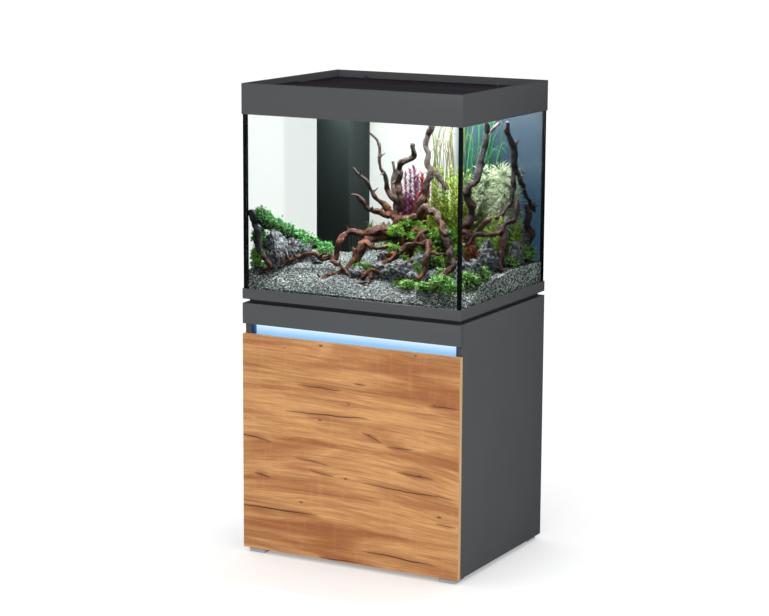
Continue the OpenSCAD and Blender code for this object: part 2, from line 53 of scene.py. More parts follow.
BODY_OF = {part: body for body, parts in frame["record"]["behaviour"]["bodies"].items() for part in parts}
SLOT_OF = {row["node"]: row["material_slot"] for row in frame["record"]["subparts"]}

# Places read from the frame
TANK_LOW, TANK_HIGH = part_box("glass_bottom")
FLOOR_Z = TANK_HIGH.z
SHAFT_LOW, SHAFT_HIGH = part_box("filter_shaft")
GRAVEL_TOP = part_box("gravel_bed")[1].z
WATER_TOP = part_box("glass_braces")[0].z


# Camera: lens length in millimetres, place in metres, and turns about Z, X and its own axis in degrees
LENS = 108.8
CAMERA_PLACE = (3.127, -5.855, 1.952)
CAMERA_TURNS = ((28.37, "Z"), (79.42, "X"), (0.305, "Z"))
# Light: watts of the key lamp and of one bar; strength of the room as seen, as stray and as reflected
KEY_WATTS = 36
BAR_WATTS = 6.5
ROOM_SEEN, ROOM_STRAY, ROOM_REFLECTED = 1.05, 0.91, 0.06
# Gravel: height at the front pane, rise behind it, further rise to the back, and the lowest point
BED_AT_PANE, BED_RISE, BED_TO_BACK, BED_LOWEST = 0.787, 0.049, 0.009, 0.784
# Wood: grid that melts the branches together, and the mean step along a branch
WOOD_GRID = 0.0023
WOOD_STEP = 0.012
# Share of a full turn, in radians, from one leaf to the next on a stem
LEAF_TURN = 2.4


# ---- Camera, lights and floor ----

def place_camera():
    """The camera stands to the right of the cabinet and looks down at it a little."""
    lens = bpy.data.cameras.new("camera")
    lens.sensor_width = 36
    lens.lens = LENS
    lens.clip_end = 200
    camera = bpy.data.objects.new("camera", lens)
    aim = [Matrix.Rotation(math.radians(turn), 4, axis) for turn, axis in CAMERA_TURNS]
    camera.matrix_world = Matrix.Translation(CAMERA_PLACE) @ aim[0] @ aim[1] @ aim[2]
    bpy.context.collection.objects.link(camera)
    bpy.context.scene.camera = camera


def is_mirrored(tree):
    """1 for a ray that was reflected on its way, 0 for one that comes straight or through glass."""
    return sums(tree, "MINIMUM", add(tree, "LightPath").outputs["Glossy Depth"], 1.0)


def area_lamp(name, place, target, size, power, colour=(1, 1, 1)):
    lamp = bpy.data.lights.new(name, "AREA")
    lamp.shape = "RECTANGLE"
    lamp.size, lamp.size_y = size
    lamp.energy = power
    lamp.color = colour
    made = bpy.data.objects.new(name, lamp)
    made.location = place
    made.rotation_euler = (Vector(target) - Vector(place)).to_track_quat("-Z", "Y").to_euler()
    bpy.context.collection.objects.link(made)


def light_studio():
    """Soft white surroundings, one large key lamp at the front left, and the two bars in the hood."""
    area_lamp("key_lamp", (0.9, -4.6, 3.0), (0, 0, 0.8), (2.6, 2.0), KEY_WATTS)
    for y in (-0.08, 0.12):
        lens_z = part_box("light_lenses")[0].z - 0.002
        area_lamp("hood_lamp", (0, y, lens_z), (0, y, 0), (0.62, 0.03), BAR_WATTS, (0.95, 0.98, 1.0))
    world = bpy.data.worlds.new("studio")
    bpy.context.scene.world = world
    world.use_nodes = True
    tree = world.node_tree
    stray = ranged(tree, add(tree, "LightPath").outputs["Is Diffuse Ray"], 0, 1, ROOM_SEEN, ROOM_STRAY)
    strength = sums(tree, "MULTIPLY", stray, ranged(tree, is_mirrored(tree), 0, 1, 1.0, ROOM_REFLECTED))
    shine = tree.nodes["Background"]
    shine.inputs["Color"].default_value = (1, 1, 1, 1)
    tree.links.new(strength, shine.inputs["Strength"])


def lay_floor():
    bm = bmesh.new()
    bmesh.ops.create_grid(bm, x_segments=1, y_segments=1, size=60)
    mesh = bpy.data.meshes.new("studio_floor")
    bm.to_mesh(mesh)
    bm.free()
    material, tree, shader = new_finish("pale_floor", {"Roughness": 0.9, "Specular IOR Level": 0.1,
                                                       "Emission Color": (1, 1, 1, 1)})
    mirrored = is_mirrored(tree)
    link(tree, shader, "Base Color", blend(tree, mirrored, (0.86, 0.86, 0.86, 1), (0.05, 0.05, 0.05, 1)))
    link(tree, shader, "Emission Strength", ranged(tree, mirrored, 0, 1, 0.3, 0.0))
    mesh.materials.append(material)
    floor = bpy.data.objects.new("studio_floor", mesh)
    floor.location.z = -0.0005
    bpy.context.collection.objects.link(floor)


# ---- Drawing node trees ----

def shade(code, gain=1.0):
    """Linear colour of a hex code."""
    parts = [int(code[i:i + 2], 16) / 255 for i in (1, 3, 5)]
    linear = [c / 12.92 if c <= 0.04045 else ((c + 0.055) / 1.055) ** 2.4 for c in parts]
    return (*[c * gain for c in linear], 1.0)


def add(tree, kind, inputs=(), **settings):
    """One shader node; an input takes a socket to link or a constant."""
    made = tree.nodes.new("ShaderNode" + kind)
    for name, value in settings.items():
        setattr(made, name, value)
    for name, value in dict(inputs).items():
        link(tree, made, name, value)
    return made


def link(tree, made, name, value):
    if isinstance(value, bpy.types.NodeSocket):
        tree.links.new(value, made.inputs[name])
    else:
        made.inputs[name].default_value = value


def sums(tree, operation, *values, clamp=False):
    return add(tree, "Math", dict(enumerate(values)), operation=operation, use_clamp=clamp).outputs[0]


def blend(tree, share, first, second, way="MIX"):
    made = add(tree, "Mix", data_type="RGBA", blend_type=way)
    for index, value in ((0, share), (6, first), (7, second)):
        link(tree, made, index, value)
    return made.outputs[2]


def cloud(tree, place, scale, detail=3.0, rough=0.5, warp=0.0, output=0):
    values = {"Vector": place, "Scale": scale, "Detail": detail, "Roughness": rough, "Distortion": warp}
    return add(tree, "TexNoise", values).outputs[output]


def cells(tree, place, scale, feature="F1", output="Color"):
    return add(tree, "TexVoronoi", {"Vector": place, "Scale": scale}, feature=feature).outputs[output]


def ranged(tree, value, low, high, to_low=0.0, to_high=1.0):
    values = {"Value": value, "From Min": low, "From Max": high, "To Min": to_low, "To Max": to_high}
    return add(tree, "MapRange", values).outputs[0]


def steps(tree, share, *stops):
    """Colour ramp through (place, colour) stops."""
    made = add(tree, "ValToRGB", {0: share})
    elements = made.color_ramp.elements
    while len(elements) < len(stops):
        elements.new(1)
    for element, (place, colour) in zip(elements, stops):
        element.position = place
        element.color = colour
    return made.outputs[0]


def place_of(tree, stretch=(1, 1, 1), turn=(0, 0, 0)):
    where = add(tree, "TexCoord").outputs["Object"]
    return add(tree, "Mapping", {"Vector": where, "Scale": stretch, "Rotation": turn}).outputs[0]


def new_finish(name, values):
    """A material with a Principled shader: the material, its tree and the shader."""
    material = bpy.data.materials.new(name)
    material.use_nodes = True
    shader = material.node_tree.nodes["Principled BSDF"]
    for key, value in values.items():
        shader.inputs[key].default_value = value
    return material, material.node_tree, shader


def raise_surface(tree, shader, height, depth, strength=1.0):
    made = add(tree, "Bump", {"Height": height, "Distance": depth, "Strength": strength})
    link(tree, shader, "Normal", made.outputs[0])


def new_group(name, inputs, outputs, fill):
    """A node group: inputs are (name, kind, value), outputs (name, kind), and fill draws the inside."""
    tree = bpy.data.node_groups.new(name, "ShaderNodeTree")
    for label, kind, value in inputs:
        made = tree.interface.new_socket(label, in_out="INPUT", socket_type="NodeSocket" + kind)
        made.default_value = value
    for label, kind in outputs:
        tree.interface.new_socket(label, in_out="OUTPUT", socket_type="NodeSocket" + kind)
    entry = tree.nodes.new("NodeGroupInput")
    leave = tree.nodes.new("NodeGroupOutput")
    for label, socket in fill(tree, entry.outputs).items():
        tree.links.new(socket, leave.inputs[label])
    return tree


def use_group(tree, group, inputs):
    made = add(tree, "Group", node_tree=group)
    for name, value in inputs.items():
        link(tree, made, name, value)
    return made.outputs


# ---- Shared effects ----

def draw_surface_life(tree, given):
    """Uneven tone, haze and fine relief of a moulded or laminated surface."""
    broad = cloud(tree, given["Vector"], 5.0, 2.0)
    fine = cloud(tree, given["Vector"], given["Grain"], 4.0, 0.6)
    tone = sums(tree, "ADD", sums(tree, "MULTIPLY", broad, 0.6), sums(tree, "MULTIPLY", fine, 0.4))
    swing = sums(tree, "MULTIPLY", sums(tree, "SUBTRACT", tone, 0.5), given["Contrast"])
    value = sums(tree, "ADD", 1.0, swing)
    colour = add(tree, "HueSaturation", {"Value": value, "Color": given["Base"]}).outputs[0]
    haze = sums(tree, "MULTIPLY", sums(tree, "SUBTRACT", broad, 0.5), 0.25)
    return {"Colour": colour, "Roughness": sums(tree, "ADD", given["Roughness"], haze), "Height": fine}


def draw_crack(tree, given):
    """One long wavy crack along X, thin at both ends, with a warm halo."""
    along = sums(tree, "SUBTRACT", given["X"], given["At X"])
    share = sums(tree, "DIVIDE", along, given["Half Length"])
    taper = sums(tree, "SUBTRACT", 1.0, sums(tree, "MULTIPLY", share, share), clamp=True)
    slope = sums(tree, "MULTIPLY", along, given["Slope"])
    middle = sums(tree, "ADD", sums(tree, "ADD", given["At Z"], slope), given["Wave"])
    off = sums(tree, "ABSOLUTE", sums(tree, "SUBTRACT", given["Z"], middle))
    width = sums(tree, "ADD", sums(tree, "MULTIPLY", taper, given["Width"]), 0.00001)
    core = sums(tree, "SUBTRACT", 1.0, sums(tree, "DIVIDE", off, width), clamp=True)
    halo = sums(tree, "SUBTRACT", 1.0, sums(tree, "DIVIDE", off, sums(tree, "MULTIPLY", width, 7.0)),
                clamp=True)
    return {"Core": core, "Halo": halo}


def draw_knot(tree, given):
    """A small knot: a dark core, and the shift that bends the grain around it."""
    dx = sums(tree, "DIVIDE", sums(tree, "SUBTRACT", given["X"], given["At X"]), given["Size"])
    dz = sums(tree, "DIVIDE", sums(tree, "SUBTRACT", given["Z"], given["At Z"]), given["Size"])
    wide = sums(tree, "MULTIPLY", dx, 0.45)
    square = sums(tree, "ADD", sums(tree, "MULTIPLY", wide, wide), sums(tree, "MULTIPLY", dz, dz))
    pull = sums(tree, "EXPONENT", sums(tree, "MULTIPLY", square, -0.35))
    shift = sums(tree, "MULTIPLY", sums(tree, "MULTIPLY", dz, pull),
                 sums(tree, "MULTIPLY", given["Size"], -0.75))
    core = sums(tree, "SUBTRACT", 1.0, sums(tree, "MULTIPLY", sums(tree, "SQRT", square), 1.9), clamp=True)
    return {"Shift": shift, "Core": core}


def draw_leaf_tones(tree, given):
    """Leaf colour from base to tip, each leaf a little different from the next."""
    along = add(tree, "SeparateXYZ", {0: add(tree, "UVMap", uv_map="leaf").outputs[0]}).outputs["Y"]
    own = add(tree, "NewGeometry").outputs["Random Per Island"]
    colour = blend(tree, along, given["Base"], given["Tip"])
    hue = sums(tree, "ADD", 0.5, sums(tree, "MULTIPLY", sums(tree, "SUBTRACT", own, 0.5),
                                      given["Hue Spread"]))
    value = sums(tree, "ADD", sums(tree, "SUBTRACT", 1.0, sums(tree, "MULTIPLY", given["Spread"], 0.5)),
                 sums(tree, "MULTIPLY", own, given["Spread"]))
    return {"Colour": add(tree, "HueSaturation", {"Hue": hue, "Value": value, "Color": colour}).outputs[0]}


def draw_mineral(tree, given):
    """Grains of three tones with pits between them."""
    own = add(tree, "SeparateColor", {0: cells(tree, given["Vector"], given["Grain"])}).outputs[0]
    tint = steps(tree, own, (0.0, (0, 0, 0, 1)), (0.35, (0.10, 0.10, 0.10, 1)),
                 (0.62, (0.30, 0.30, 0.30, 1)),
                 (0.84, (1, 1, 1, 1)))
    share = add(tree, "SeparateColor", {0: tint}).outputs[0]
    colour = blend(tree, share, given["Dark"], given["Pale"])
    gap = cells(tree, given["Vector"], given["Grain"], output="Distance")
    return {"Colour": colour, "Height": sums(tree, "SUBTRACT", 1.0, gap)}


VECTOR = ("Vector", "Vector", (0, 0, 0))
LIFE = new_group(
    "surface_life",
    [VECTOR, ("Base", "Color", (0.1, 0.1, 0.1, 1)), ("Grain", "Float", 400.0), ("Contrast", "Float", 0.2),
     ("Roughness", "Float", 0.5)],
    [("Colour", "Color"), ("Roughness", "Float"), ("Height", "Float")], draw_surface_life)
CRACK = new_group(
    "oak_crack",
    [(label, "Float", 0.0) for label in ("X", "Z", "Wave", "At X", "At Z", "Half Length", "Slope",
                                         "Width")],
    [("Core", "Float"), ("Halo", "Float")], draw_crack)
KNOT = new_group(
    "oak_knot", [(label, "Float", 0.0) for label in ("X", "Z", "At X", "At Z", "Size")],
    [("Shift", "Float"), ("Core", "Float")], draw_knot)
LEAF_TONES = new_group(
    "leaf_tones",
    [("Base", "Color", (0, 0.1, 0, 1)), ("Tip", "Color", (0, 0.2, 0, 1)), ("Hue Spread", "Float", 0.03),
     ("Spread", "Float", 0.6)],
    [("Colour", "Color")], draw_leaf_tones)
MINERAL = new_group(
    "mineral", [VECTOR, ("Dark", "Color", (0, 0, 0, 1)), ("Pale", "Color", (1, 1, 1, 1)),
                ("Grain", "Float", 300.0)],
    [("Colour", "Color"), ("Height", "Float")], draw_mineral)


# ---- Finishes ----

def moulded(name, colour, roughness=0.45, grain=500.0, contrast=0.15, depth=0.00005, **more):
    """Plastic, laminate, rubber or paint: an even colour with the life of a real surface."""
    material, tree, shader = new_finish(name, {"Specular IOR Level": 0.4, **more})
    life = use_group(tree, LIFE, {"Vector": place_of(tree), "Base": shade(colour), "Grain": grain,
                                  "Contrast": contrast, "Roughness": roughness})
    link(tree, shader, "Base Color", life["Colour"])
    link(tree, shader, "Roughness", life["Roughness"])
    raise_surface(tree, shader, life["Height"], depth, 0.4)
    return material


def brushed(name, colour, stretch, roughness=0.32):
    """Metal drawn along one axis."""
    material, tree, shader = new_finish(name, {"Metallic": 1.0})
    lines = cloud(tree, place_of(tree, stretch), 60.0, 4.0, 0.6)
    life = use_group(tree, LIFE, {"Vector": place_of(tree), "Base": shade(colour), "Grain": 200.0,
                                  "Contrast": 0.25, "Roughness": roughness})
    link(tree, shader, "Base Color", life["Colour"])
    link(tree, shader, "Roughness", sums(tree, "ADD", life["Roughness"],
                                         sums(tree, "MULTIPLY", lines, 0.12)))
    raise_surface(tree, shader, lines, 0.00004, 0.5)
    return material


# Cracks and knots of the oak decor: place on the door's face, then length or size, in millimetres
CRACKS = ((-95, 518, 75, -0.01, 2.6), (35, 538, 20, -0.05, 1.4), (-70, 440, 140, 0.02, 2.8),
          (-310, 348, 62, -0.10, 2.6), (74, 392, 34, -0.28, 2.0), (165, 374, 46, -0.02, 2.0),
          (-240, 142, 140, 0.01, 3.2), (190, 250, 150, -0.02, 2.4), (165, 50, 120, -0.05, 3.2),
          (-88, 268, 44, -0.12, 1.8), (-30, 22, 70, 0.0, 2.2), (300, 505, 50, 0.0, 1.6),
          (215, 300, 60, -0.06, 2.2), (-285, 240, 30, -0.16, 2.4), (310, 168, 34, -0.03, 1.5),
          (-120, 300, 60, -0.10, 1.3))
KNOTS = ((-90, 640, 9), (212, 642, 6), (228, 300, 9), (-289, 240, 8), (-93, 424, 8), (0, 480, 6),
         (66, 398, 7), (-156, 174, 7), (272, 508, 6), (290, 190, 9), (-10, 262, 7), (-210, 622, 4))


def oak_face():
    """Golden oak decor with level grain, dark cracks and small knots."""
    material, tree, shader = new_finish("oak_decor", {"Specular IOR Level": 0.35, "Coat Weight": 0.05})
    place = add(tree, "SeparateXYZ", {0: add(tree, "TexCoord").outputs["Object"]}).outputs
    core, halo, shift = 0.0, 0.0, 0.0
    wave = sums(tree, "SUBTRACT", cloud(tree, place_of(tree, (9, 9, 3)), 1.0, 4.0, 0.4), 0.5)
    wave = sums(tree, "MULTIPLY", wave, 0.022)
    for x, z, half, slope, width in CRACKS:
        crack = use_group(tree, CRACK, {"X": place["X"], "Z": place["Z"], "Wave": wave, "At X": x * MM,
                                        "At Z": z * MM, "Half Length": half * MM, "Slope": slope,
                                        "Width": width * MM})
        core = sums(tree, "MAXIMUM", core, crack["Core"])
        halo = sums(tree, "MAXIMUM", halo, crack["Halo"])
    for x, z, size in KNOTS:
        knot = use_group(tree, KNOT, {"X": place["X"], "Z": place["Z"], "At X": x * MM, "At Z": z * MM,
                                      "Size": size * MM})
        shift = sums(tree, "ADD", shift, knot["Shift"])
        core = sums(tree, "MAXIMUM", core, sums(tree, "MULTIPLY", knot["Core"], 0.8))
        halo = sums(tree, "MAXIMUM", halo, knot["Core"])
    level = sums(tree, "ADD", place["Z"], shift)
    # the whole figure falls a little to the right
    level = sums(tree, "ADD", level, sums(tree, "MULTIPLY", place["X"], 0.03))

    def grain(long, across, detail, rough=0.55, warp=0.0):
        spot = add(tree, "CombineXYZ", {"X": sums(tree, "MULTIPLY", place["X"], long), "Y": place["Y"],
                                        "Z": sums(tree, "MULTIPLY", level, across)}).outputs[0]
        return cloud(tree, spot, 1.0, detail, rough, warp)

    # the figure opens into long ovals across the middle of the board
    arch = sums(tree, "SUBTRACT", place["Z"], 0.27)
    arch = sums(tree, "EXPONENT", sums(tree, "MULTIPLY", sums(tree, "MULTIPLY", arch, arch), -60.0))
    level = sums(tree, "ADD", level, sums(tree, "MULTIPLY", sums(tree, "MULTIPLY", arch, 0.24),
                                          sums(tree, "MULTIPLY", place["X"], place["X"])))
    bands = grain(1.6, 12.0, 4.0, 0.55, 0.8)
    streaks = grain(3.0, 75.0, 5.0, 0.65, 0.5)
    fibres = grain(9.0, 420.0, 5.0, 0.75)
    painted_sheen = grain(60.0, 6.0, 3.0)
    colour = steps(tree, bands, (0.36, shade("#b0703f")), (0.46, shade("#c58a54")),
                   (0.54, shade("#dca468")),
                   (0.66, shade("#bb7a4b")))
    colour = blend(tree, ranged(tree, streaks, 0.48, 0.70, 0, 0.65), colour, shade("#93552f"))
    colour = blend(tree, ranged(tree, streaks, 0.44, 0.30, 0, 0.35), colour, shade("#e3ad6e"))
    colour = blend(tree, ranged(tree, fibres, 0.42, 0.66, 0, 0.45), colour, shade("#7d4a28"))
    # painted sheen: up to a tenth of a paler tone in tall vertical streaks
    colour = blend(tree, ranged(tree, painted_sheen, 0.56, 0.70, 0, 0.10), colour, shade("#dfae76"))
    colour = blend(tree, sums(tree, "MULTIPLY", halo, 0.5), colour, shade("#8a4f2e"))
    colour = blend(tree, sums(tree, "MULTIPLY", core, 1.0, clamp=True), colour, shade("#2c1a12"))
    link(tree, shader, "Base Color", colour)
    link(tree, shader, "Roughness", ranged(tree, fibres, 0.3, 0.7, 0.42, 0.56))
    raise_surface(tree, shader, sums(tree, "SUBTRACT", fibres, core), 0.00012, 0.5)
    return material


def oak_edge():
    """Pale edging tape of the door, with straight fine lines."""
    material, tree, shader = new_finish("oak_edging", {"Specular IOR Level": 0.4})
    lines = cloud(tree, place_of(tree, (350, 350, 7)), 1.0, 4.0)
    link(tree, shader, "Base Color", steps(tree, lines, (0.35, shade("#c39668")), (0.65, shade("#dcb98c"))))
    link(tree, shader, "Roughness", ranged(tree, lines, 0.3, 0.7, 0.40, 0.52))
    raise_surface(tree, shader, lines, 0.0001, 0.3)
    return material


def beech():
    material, tree, shader = new_finish("beech", {})
    lines = cloud(tree, place_of(tree, (12, 260, 260)), 1.0, 4.0)
    link(tree, shader, "Base Color", steps(tree, lines, (0.3, shade("#c9a57a")), (0.7, shade("#e2c59c"))))
    link(tree, shader, "Roughness", ranged(tree, lines, 0.3, 0.7, 0.5, 0.65))
    raise_surface(tree, shader, lines, 0.0002, 0.4)
    return material


def gap_glow():
    """Reflector behind the finger gap, painted glowing: its emission is painted light from the strip, white
    under the strip and sky blue lower down, and its base colour is painted lighter towards the strip.
    """
    low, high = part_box("gap_reflector")
    material, tree, shader = new_finish("lit_reflector", {"Emission Strength": 1.0, "Roughness": 0.35})
    place = add(tree, "SeparateXYZ", {0: add(tree, "TexCoord").outputs["Object"]}).outputs
    rise = ranged(tree, place["Z"], low.z + 0.006, high.z - 0.01)
    drift = sums(tree, "MULTIPLY", sums(tree, "SUBTRACT", cloud(tree, place_of(tree), 3.0, 1.0), 0.5), 0.25)
    glow = steps(tree, sums(tree, "ADD", rise, drift), (0.05, shade("#8fc4f5")), (0.4, shade("#b8dcff")),
                 (0.8, shade("#e9f5ff")))
    # painted light: the emission stands in for the strip's light on the reflector
    link(tree, shader, "Emission Color", glow)
    link(tree, shader, "Base Color", blend(tree, rise, shade("#3f5a74"), shade("#5a7088")))
    return material


def blue_block():
    # painted glow: the end blocks emit, and their base and emitted colours are both painted lighter towards
    # the top
    low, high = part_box("gap_end_blocks")
    material, tree, shader = new_finish("blue_acrylic_painted_glow", {"Roughness": 0.15, "Emission Strength": 0.3})
    place = add(tree, "SeparateXYZ", {0: add(tree, "TexCoord").outputs["Object"]}).outputs
    rise = ranged(tree, place["Z"], low.z, high.z)
    link(tree, shader, "Base Color", blend(tree, rise, shade("#2c4060"), shade("#46648e")))
    link(tree, shader, "Emission Color", blend(tree, rise, shade("#1d3354"), shade("#38557f")))
    return material


def opal(name, strength, colour="#f4f8ff"):
    """Opal acrylic lit from inside, with the faint row of diodes behind it."""
    material, tree, shader = new_finish(name, {"Roughness": 0.3, "Emission Strength": strength})
    dots = ranged(tree, cells(tree, place_of(tree, (1, 0.01, 0.01)), 32.0, output="Distance"), 0.0, 0.4,
                  1.0, 0.9)
    link(tree, shader, "Emission Color", blend(tree, dots, shade("#cddcf0"), shade(colour)))
    link(tree, shader, "Base Color", blend(tree, dots, shade("#d5dde6"), shade("#f2f4f6")))
    return material


def pane_glass():
    """Float glass with a faint green body; lamps shine through it."""
    material, tree, shader = new_finish("float_glass", {
        "Roughness": 0.0, "IOR": 1.45, "Transmission Weight": 1.0, "Specular Tint": (1, 1, 1, 1)})
    path = add(tree, "LightPath").outputs
    lets_by = sums(tree, "MAXIMUM", path["Is Shadow Ray"], path["Is Diffuse Ray"])
    tint = blend(tree, path["Is Diffuse Ray"], (0.93, 0.96, 0.95, 1), (0.45, 0.47, 0.46, 1))
    clear = add(tree, "BsdfTransparent", {"Color": tint}).outputs[0]
    body = cloud(tree, place_of(tree), 3.0, 1.0)
    link(tree, shader, "Base Color", blend(tree, body, (0.955, 0.995, 0.975, 1), (0.985, 1.0, 0.99, 1)))
    both = add(tree, "MixShader", {0: lets_by, 1: shader.outputs[0], 2: clear})
    tree.links.new(both.outputs[0], tree.nodes["Material Output"].inputs["Surface"])
    return material


def back_film():
    """Printed film: white behind the left part, then a fade to deep water blue. The print is painted glowing:
    emission carries it over a darkened base colour.
    """
    low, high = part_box("background_film")
    material, tree, shader = new_finish("fade_film", {"Roughness": 0.5, "Emission Strength": 0.6})
    place = add(tree, "SeparateXYZ", {0: add(tree, "TexCoord").outputs["Object"]}).outputs
    across = ranged(tree, place["X"], 0.045, 0.075)
    rise = ranged(tree, place["Z"], low.z, high.z)
    ripple = cloud(tree, place_of(tree, (2.0, 1, 9.0)), 2.0, 4.0, 0.6, 1.0)
    surface = ranged(tree, sums(tree, "ADD", rise, sums(tree, "MULTIPLY", ripple, 0.16)), 0.86, 1.12)
    blue = steps(tree, rise, (0.0, shade("#43607a")), (0.35, shade("#3b5a76")), (0.85, shade("#2f4e6c")))
    blue = blend(tree, sums(tree, "MULTIPLY", surface, 0.12), blue, shade("#5a9bb4"))
    white = steps(tree, rise, (0.0, shade("#f4f6f6")), (0.5, shade("#fdfbfa")), (1.0, shade("#e9e6e5")))
    colour = blend(tree, across, white, blue)
    # painted glow: the base colour keeps a fifth of the print, and the print shines as emission
    link(tree, shader, "Base Color", blend(tree, 0.8, colour, (0, 0, 0, 1)))
    link(tree, shader, "Emission Color", colour)
    return material


def gravel_finish():
    """Black gravel with grey and white grains."""
    material, tree, shader = new_finish("black_gravel", {"Specular IOR Level": 0.35, "Roughness": 0.6})
    grain = use_group(tree, MINERAL, {"Vector": place_of(tree), "Dark": shade("#212426"),
                                      "Pale": shade("#cfd6d2"), "Grain": 250.0})
    tone_and_painted_light = ranged(tree, cloud(tree, place_of(tree), 6.0, 3.0), 0.35, 0.65, 0.75, 1.15)
    place = add(tree, "SeparateXYZ", {0: add(tree, "TexCoord").outputs["Object"]}).outputs
    # painted shade and light: darker in the middle, where the bars light it most, paler towards both ends, and
    # more than twice as pale in the last millimetres by the right pane
    tone_and_painted_light = sums(tree, "MULTIPLY", tone_and_painted_light, ranged(tree, sums(tree, "ABSOLUTE", place["X"]), 0.12, 0.32, 0.58,
                                               1.4))
    tone_and_painted_light = sums(tree, "MULTIPLY", tone_and_painted_light, ranged(tree, place["X"], 0.335, 0.341, 1.0, 2.2))
    colour = add(tree, "HueSaturation", {"Value": tone_and_painted_light, "Color": grain["Colour"]}).outputs[0]
    link(tree, shader, "Base Color", colour)
    raise_surface(tree, shader, grain["Height"], 0.0015, 1.0)
    return material


def loose_grain():
    """Grains that lie loose on the bed, each with its own tone."""
    material, tree, shader = new_finish("loose_grains", {"Roughness": 0.5})
    own = add(tree, "NewGeometry").outputs["Random Per Island"]
    colour = steps(tree, own, (0.0, shade("#0c0e0f")), (0.45, shade("#24282a")), (0.68, shade("#5a615f")),
                   (0.88, shade("#b4bab7")))
    speck = cloud(tree, place_of(tree), 900.0, 2.0)
    link(tree, shader, "Base Color", blend(tree, ranged(tree, speck, 0.4, 0.7, 0, 0.4), colour,
                                           shade("#8b918f")))
    raise_surface(tree, shader, speck, 0.0003, 0.5)
    return material


def bark():
    """Root wood: red-brown with dark grooves that follow each branch, greyer towards the tips."""
    material, tree, shader = new_finish("root_bark", {"Specular IOR Level": 0.3})
    follow = add(tree, "Attribute", attribute_name="bark").outputs["Vector"]
    high = add(tree, "SeparateXYZ", {0: add(tree, "TexCoord").outputs["Object"]}).outputs
    grooves = cloud(tree, add(tree, "Mapping", {"Vector": follow, "Scale": (3.2, 3.2, 14)}).outputs[0],
                    1.0, 6.0, 0.65, 0.6)
    blotches = cloud(tree, place_of(tree), 22.0, 4.0, 0.6)
    colour = steps(tree, grooves, (0.34, shade("#120907")), (0.45, shade("#321a14")),
                   (0.55, shade("#57301f")),
                   (0.70, shade("#955a33")))
    colour = blend(tree, ranged(tree, blotches, 0.54, 0.68, 0, 0.6), colour, shade("#a2622c"))
    grey = steps(tree, grooves, (0.34, shade("#151011")), (0.5, shade("#362d2b")), (0.70, shade("#6c5e58")))
    colour = blend(tree, ranged(tree, high["Z"], 0.97, 1.10, 0, 0.9), colour, grey)
    # painted shade: the tall roots at the right end are darker and bluer, standing in for the blue light and
    # shade there; the ones at the left end are slate grey
    colour = blend(tree, ranged(tree, high["X"], 0.17, 0.24, 0, 0.5), colour, shade("#231c2c"))
    slate = sums(tree, "MULTIPLY", ranged(tree, high["X"], -0.24, -0.27),
                 ranged(tree, high["Z"], 0.86, 0.89))
    colour = blend(tree, sums(tree, "MULTIPLY", slate, 0.8), colour, shade("#27303a"))
    # painted shade and light: the more a face turns down, the darker it is, and faces turned up are a little
    # lighter
    up = add(tree, "SeparateXYZ", {0: add(tree, "NewGeometry").outputs["Normal"]}).outputs["Z"]
    painted_light_by_facing = ranged(tree, up, -0.6, 0.6, 0.25, 1.15)
    colour = add(tree, "HueSaturation", {"Value": painted_light_by_facing, "Color": colour}).outputs[0]
    link(tree, shader, "Base Color", colour)
    link(tree, shader, "Roughness", ranged(tree, grooves, 0.3, 0.7, 0.75, 0.55))
    raise_surface(tree, shader, grooves, 0.002, 0.9)
    return material


def stone():
    """Blue-grey broken stone with pale veins and dark pits."""
    material, tree, shader = new_finish("grey_stone", {"Specular IOR Level": 0.3, "Roughness": 0.7})
    lumps = cloud(tree, place_of(tree), 45.0, 7.0, 0.7, 0.8)
    pits = use_group(tree, MINERAL, {"Vector": place_of(tree, (1, 1, 1.6)), "Dark": shade("#14171b"),
                                     "Pale": shade("#c3c2c4"), "Grain": 120.0})
    colour = steps(tree, lumps, (0.36, shade("#0f1114")), (0.47, shade("#35393d")),
                   (0.57, shade("#6e7377")),
                   (0.68, shade("#c6c7c9")))
    link(tree, shader, "Base Color", blend(tree, 0.35, colour, pits["Colour"]))
    raise_surface(tree, shader, sums(tree, "ADD", lumps, sums(tree, "MULTIPLY", pits["Height"], 0.3)),
                  0.004, 0.9)
    return material


def leaves(name, base, tip, spread=0.7, hue=0.05, roughness=0.45, glow=0.0):
    """Leaf finish: base and tip tones, and veins as a fine relief."""
    material, tree, shader = new_finish(name, {"Roughness": roughness, "Specular IOR Level": 0.35,
                                               "Emission Strength": glow})
    tones = use_group(tree, LEAF_TONES, {"Base": shade(base), "Tip": shade(tip), "Hue Spread": hue,
                                         "Spread": spread})
    link(tree, shader, "Base Color", tones["Colour"])
    if glow:
        link(tree, shader, "Emission Color", tones["Colour"])
    veins = cloud(tree, place_of(tree), 700.0, 2.0)
    raise_surface(tree, shader, veins, 0.0003, 0.4)
    return material


